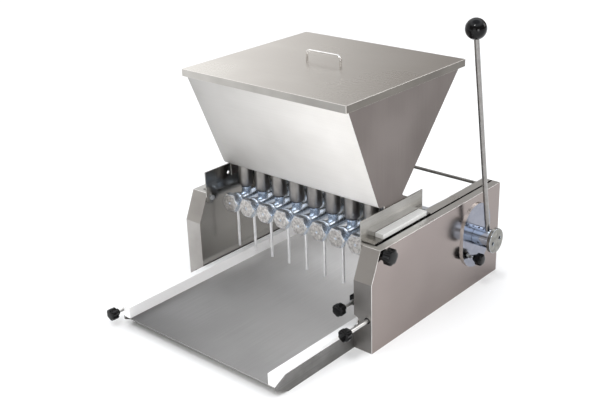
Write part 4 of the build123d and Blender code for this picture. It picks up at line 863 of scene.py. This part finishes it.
spot = add(turned, "ShaderNodeCombineXYZ", {
    "X": across.outputs[0], "Y": aside.outputs[0], "Z": parts.outputs["Z"],
})
rolled = add(turned, "GeometryNodeSetPosition", {"Geometry": skin.outputs[0], "Position": spot.outputs[0]})
closed = add(turned, "GeometryNodeMergeByDistance", {"Geometry": rolled.outputs[0], "Distance": 0.01 * MM})
solid = add(turned, "GeometryNodeRealizeInstances", {0: closed.outputs[0]})
black = add(turned, "GeometryNodeSetMaterial", {"Geometry": solid.outputs[0], "Material": given["Plastic"]})
add(turned, "NodeGroupOutput", {0: black.outputs[0]})


KNOB_SMOOTH_BELOW = math.radians(50)


def knob(name, profile, seat, axis, plastic, body, node, around, radius=1.0, lobes=0, scallop=0.0):
    """Knob turned from a profile of radius and height in millimetres, set on its seat along an axis.

    A lobed knob also has its rim's radius, its number of lobes and how deep it is scalloped between them.
    """
    outline = bpy.data.meshes.new(name + "_profile")
    outline.from_pydata([(r * MM, 0, h * MM) for r, h in profile], [], [])
    values = {"Around": around, "Radius": radius, "Lobes": lobes, "Scallop": scallop, "Plastic": plastic}
    piece = built(name, turned, values, outline)
    turn = Vector(ALONG_Z).rotation_difference(Vector(axis)).to_matrix().to_4x4()
    piece.data.transform(Matrix.Translation(seat) @ turn)
    piece.data.shade_smooth()
    piece.data.set_sharp_from_angle(angle=KNOB_SMOOTH_BELOW)
    riding(piece, body, "black_plastic", node)


LEVER_X, BALL_REACH = 274, 451
BALL_RADIUS, BALL_SOFT, ROD_RECESS = 20.0, 0.3, (5.4, 5.6)
BALL_LOW, BALL_STEPS = -64, 40
ball_plastic = cast("phenolic plastic, polished black", "#040405", "#08080A", 0.0, (0.08, 0.14), ior=1.3)
ball_flat = 0.9 * BALL_RADIUS
flat_radius = math.sqrt(BALL_RADIUS ** 2 - ball_flat ** 2)
steps_up = [math.radians(BALL_LOW + (90 - BALL_LOW) * k / BALL_STEPS) for k in range(BALL_STEPS + 1)]
ball_profile = [(0, -ball_flat + BALL_SOFT), (ROD_RECESS[0], -ball_flat + BALL_SOFT)]
ball_profile += [(ROD_RECESS[1], -ball_flat), (flat_radius - BALL_SOFT, -ball_flat)]
ball_profile += [(BALL_RADIUS * math.cos(a), BALL_RADIUS * math.sin(a)) for a in steps_up]
ball_seat = at(LEVER_X, SHAFT_Y, SHAFT_Z) + lever_up * BALL_REACH * MM
knob("moulded_ball_knob", ball_profile, ball_seat, lever_up, ball_plastic, "lever", "ball_knob", around=72)

# Star grips: six-lobed nylon mouldings on the clamp stud, the dose stop and the three rods.
# They are moulded in black with a glossy skin, a domed top and a plain boss below.
grip_plastic = cast("nylon, moulded black", "#030304", "#060607", 0.0, (0.05, 0.10), ior=1.3)
GRIP_BOSS, GRIP_BOSS_RADIUS = 6.0, 7.0


def grip_profile(diameter, height):
    """Boss, underside, rounded rim and domed top of a star grip, as radius and height in millimetres."""
    rim, bottom, top = diameter / 2, GRIP_BOSS, GRIP_BOSS + height
    soft = 1.6
    boss = GRIP_BOSS_RADIUS
    points = [(0, 0), (boss - 0.5, 0), (boss, 0.5), (boss, bottom - 0.4), (boss + 0.4, bottom)]
    points += [(rim - soft, bottom), (rim - 0.5, bottom + 0.5), (rim, bottom + soft)]
    points += [(rim, bottom + height / 2), (rim, top - 3.4), (rim - 0.6, top - 2.0), (rim - 1.9, top - 1.1)]
    return points + [(rim * 0.66, top - 0.5), (rim * 0.4, top - 0.15), (rim * 0.2, top), (0, top)]


DOSE_STOP_Y, DOSE_STOP_Z = 328.07, 74.08
GRIPS = (
    ("clamp_knob", "clamp", at(244, CLAMP_Y, CLAMP_Z), ALONG_X, 32, 16, 2.6),
    ("dose_stop_knob", "dose_stop", at(255.5, DOSE_STOP_Y, DOSE_STOP_Z), ALONG_X, 25, 15, 2.1),
    ("dose_knob", "dose_screw", at(233, -51, 67), (0, -1, 0), 25, 15, 2.1),
    ("tray_stop_knob", "tray_stop", at(190.5, -15, 88), (0, -1, 0), 25, 15, 2.1),
    ("feed_knob", "tray_feed", at(-222, -215, 24), (0, -1, 0), 25, 15, 2.1),
)
for node, body, seat, axis, diameter, height, scallop in GRIPS:
    knob(
        "moulded_" + node, grip_profile(diameter, height), seat, axis, grip_plastic, body, node, around=96,
        radius=diameter / 2 * MM, lobes=6, scallop=scallop * MM,
    )


def stud(name, body, start, length, radius):
    """Ground steel stud along X that carries a star grip."""
    shape = bmesh.new()
    place = Matrix.Translation(start + Vector(ALONG_X) * length / 2) @ Matrix.Rotation(math.pi / 2, 4, "Y")
    bmesh.ops.create_cone(
        shape, cap_ends=True, segments=32, radius1=radius, radius2=radius, depth=length, matrix=place,
    )
    mesh = bpy.data.meshes.new(name)
    shape.to_mesh(mesh)
    shape.free()
    piece = bpy.data.objects.new(name, mesh)
    bpy.context.scene.collection.objects.link(piece)
    finished(piece, [rod_steel], 0.4 * MM, limit="ANGLE")
    riding(piece, body, "steel")


stud("ground_clamp_stud", "clamp", at(BRACKET_FACE, CLAMP_Y, CLAMP_Z), length=44.5 * MM, radius=4 * MM)
stud("ground_dose_stop_stud", "dose_stop", at(238, DOSE_STOP_Y, DOSE_STOP_Z), length=18 * MM, radius=3 * MM)

# Rods: ground stainless rods for the dose screw, the tray stop and the tray feed.
# They run in black nylon guides that are pressed into the fronts of the boxes or screwed to the frames.
for rod in ("dose_spindle", "tray_stop_rod", "feed_rod"):
    edged(rod, "ground_" + rod, [rod_steel], 0.5 * MM, "stainless_turned")
edged("rod_guides", "moulded_rod_guides", [grip_plastic], 0.5 * MM, "black_plastic")
edged("dose_stop_nut", "milled_dose_stop_nut", [zinc], 0.5 * MM, "steel")

# Studio: a pale floor under a bright, slightly cool ceiling that is dimmer right overhead.
# A white wall stands on the left; the other walls are a darker warm grey, which the metal picks up.
# Four softboxes on the lever side, high, low, beside and behind, give black and round pieces their lights.
FLOOR_HALF = 40.0
corners = [(x * FLOOR_HALF, y * FLOOR_HALF, 0) for x, y in ((-1, -1), (1, -1), (1, 1), (-1, 1))]
floor_mesh = bpy.data.meshes.new("floor")
floor_mesh.from_pydata(corners, [], [(0, 1, 2, 3)])
floor = bpy.data.objects.new("floor", floor_mesh)
bpy.context.scene.collection.objects.link(floor)
paper, tree = blank("paper, pale studio sweep")
sweep = add(tree, "ShaderNodeBsdfPrincipled", {
    "Base Color": linear("#F7F7F6"), "Roughness": 0.9, "Specular IOR Level": 0.1,
})
add(tree, "ShaderNodeOutputMaterial", {"Surface": sweep.outputs[0]})
floor_mesh.materials.append(paper)

world = bpy.data.worlds.new("studio")
world.use_nodes = True
bpy.context.scene.world = world
tree = world.node_tree
tree.nodes.clear()
direction = add(tree, "ShaderNodeTexCoord").outputs["Generated"]
parts = add(tree, "ShaderNodeSeparateXYZ", {0: direction})
leftward = add(tree, "ShaderNodeMapRange", {
    "Value": parts.outputs["X"], "From Min": -0.50, "From Max": -0.76,
}, interpolation_type="SMOOTHSTEP")
upward = add(tree, "ShaderNodeMapRange", {
    "Value": parts.outputs["Z"], "From Min": 0.46, "From Max": 0.62,
}, interpolation_type="SMOOTHSTEP")
overhead = add(tree, "ShaderNodeMapRange", {"Value": parts.outputs["Z"], "From Min": 0.5, "From Max": 1.0})
walls = add(tree, "ShaderNodeMix", {
    0: leftward.outputs[0], 6: linear("#8C857F"), 7: linear("#FFFEFC"),
}, data_type="RGBA")
ceiling = add(tree, "ShaderNodeMix", {
    0: overhead.outputs[0], 6: linear("#F9F9F9"), 7: linear("#F4F8FF"),
}, data_type="RGBA")
room = add(tree, "ShaderNodeMix", {
    0: upward.outputs[0], 6: walls.outputs[2], 7: ceiling.outputs[2],
}, data_type="RGBA")
power = add(tree, "ShaderNodeMapRange", {
    "Value": parts.outputs["Z"], "From Min": 0.5, "To Min": 1.14, "To Max": 3.0,
})
skylight = add(tree, "ShaderNodeMapRange", {
    "Value": parts.outputs["Z"], "From Min": 0.76, "From Max": 0.96, "To Min": 1.0, "To Max": 0.32,
}, interpolation_type="SMOOTHSTEP")
strength = add(tree, "ShaderNodeMath", {0: power.outputs[0], 1: skylight.outputs[0]}, operation="MULTIPLY")
light = add(tree, "ShaderNodeBackground", {"Color": room.outputs[2], "Strength": strength.outputs[0]})
add(tree, "ShaderNodeOutputWorld", {"Surface": light.outputs[0]})

LIT_POINT = Vector((0, 0, 0.2))
for name, place, size, watts in (
    ("high_softbox", (0.6, -1.3, 2.2), 0.35, 12),
    ("low_softbox", (0.9, -2.2, 0.6), 1.2, 5),
    ("rear_softbox", (1.2, 1.6, 1.15), 0.7, 5),
    ("side_softbox", (1.9, -0.9, 0.45), 0.6, 8),
):
    lamp = bpy.data.lights.new(name, "AREA")
    lamp.size = size
    lamp.energy = watts
    softbox = bpy.data.objects.new(name, lamp)
    softbox.location = place
    softbox.rotation_euler = (LIT_POINT - softbox.location).to_track_quat("-Z", "Y").to_euler()
    bpy.context.scene.collection.objects.link(softbox)

# Camera: the catalogue picture's viewpoint, in front of the machine on its lever side and above it.
# It is tipped a little about its own axis, as the picture is.
AZIMUTH = math.radians(41.93)
ELEVATION = math.radians(23.08)
ROLL = math.radians(-1.9)
DISTANCE = 2.1852
target = at(-147.37, 250.92, 118.94)
back = Vector((
    math.sin(AZIMUTH) * math.cos(ELEVATION), -math.cos(AZIMUTH) * math.cos(ELEVATION), math.sin(ELEVATION),
))
right = (-back).cross(Vector(ALONG_Z)).normalized()
up = right.cross(-back)
turned_right = right * math.cos(ROLL) + up * math.sin(ROLL)
turned_up = up * math.cos(ROLL) - right * math.sin(ROLL)
lens = bpy.data.cameras.new("camera")
lens.sensor_width = 36.0
lens.sensor_fit = "HORIZONTAL"
lens.lens = 59.107
camera = bpy.data.objects.new("camera", lens)
camera_turn = Matrix((turned_right, turned_up, back)).transposed().to_4x4()
camera.matrix_world = Matrix.Translation(target + back * DISTANCE) @ camera_turn
bpy.context.scene.collection.objects.link(camera)
bpy.context.scene.camera = camera
bpy.context.scene.view_settings.view_transform = "Standard"
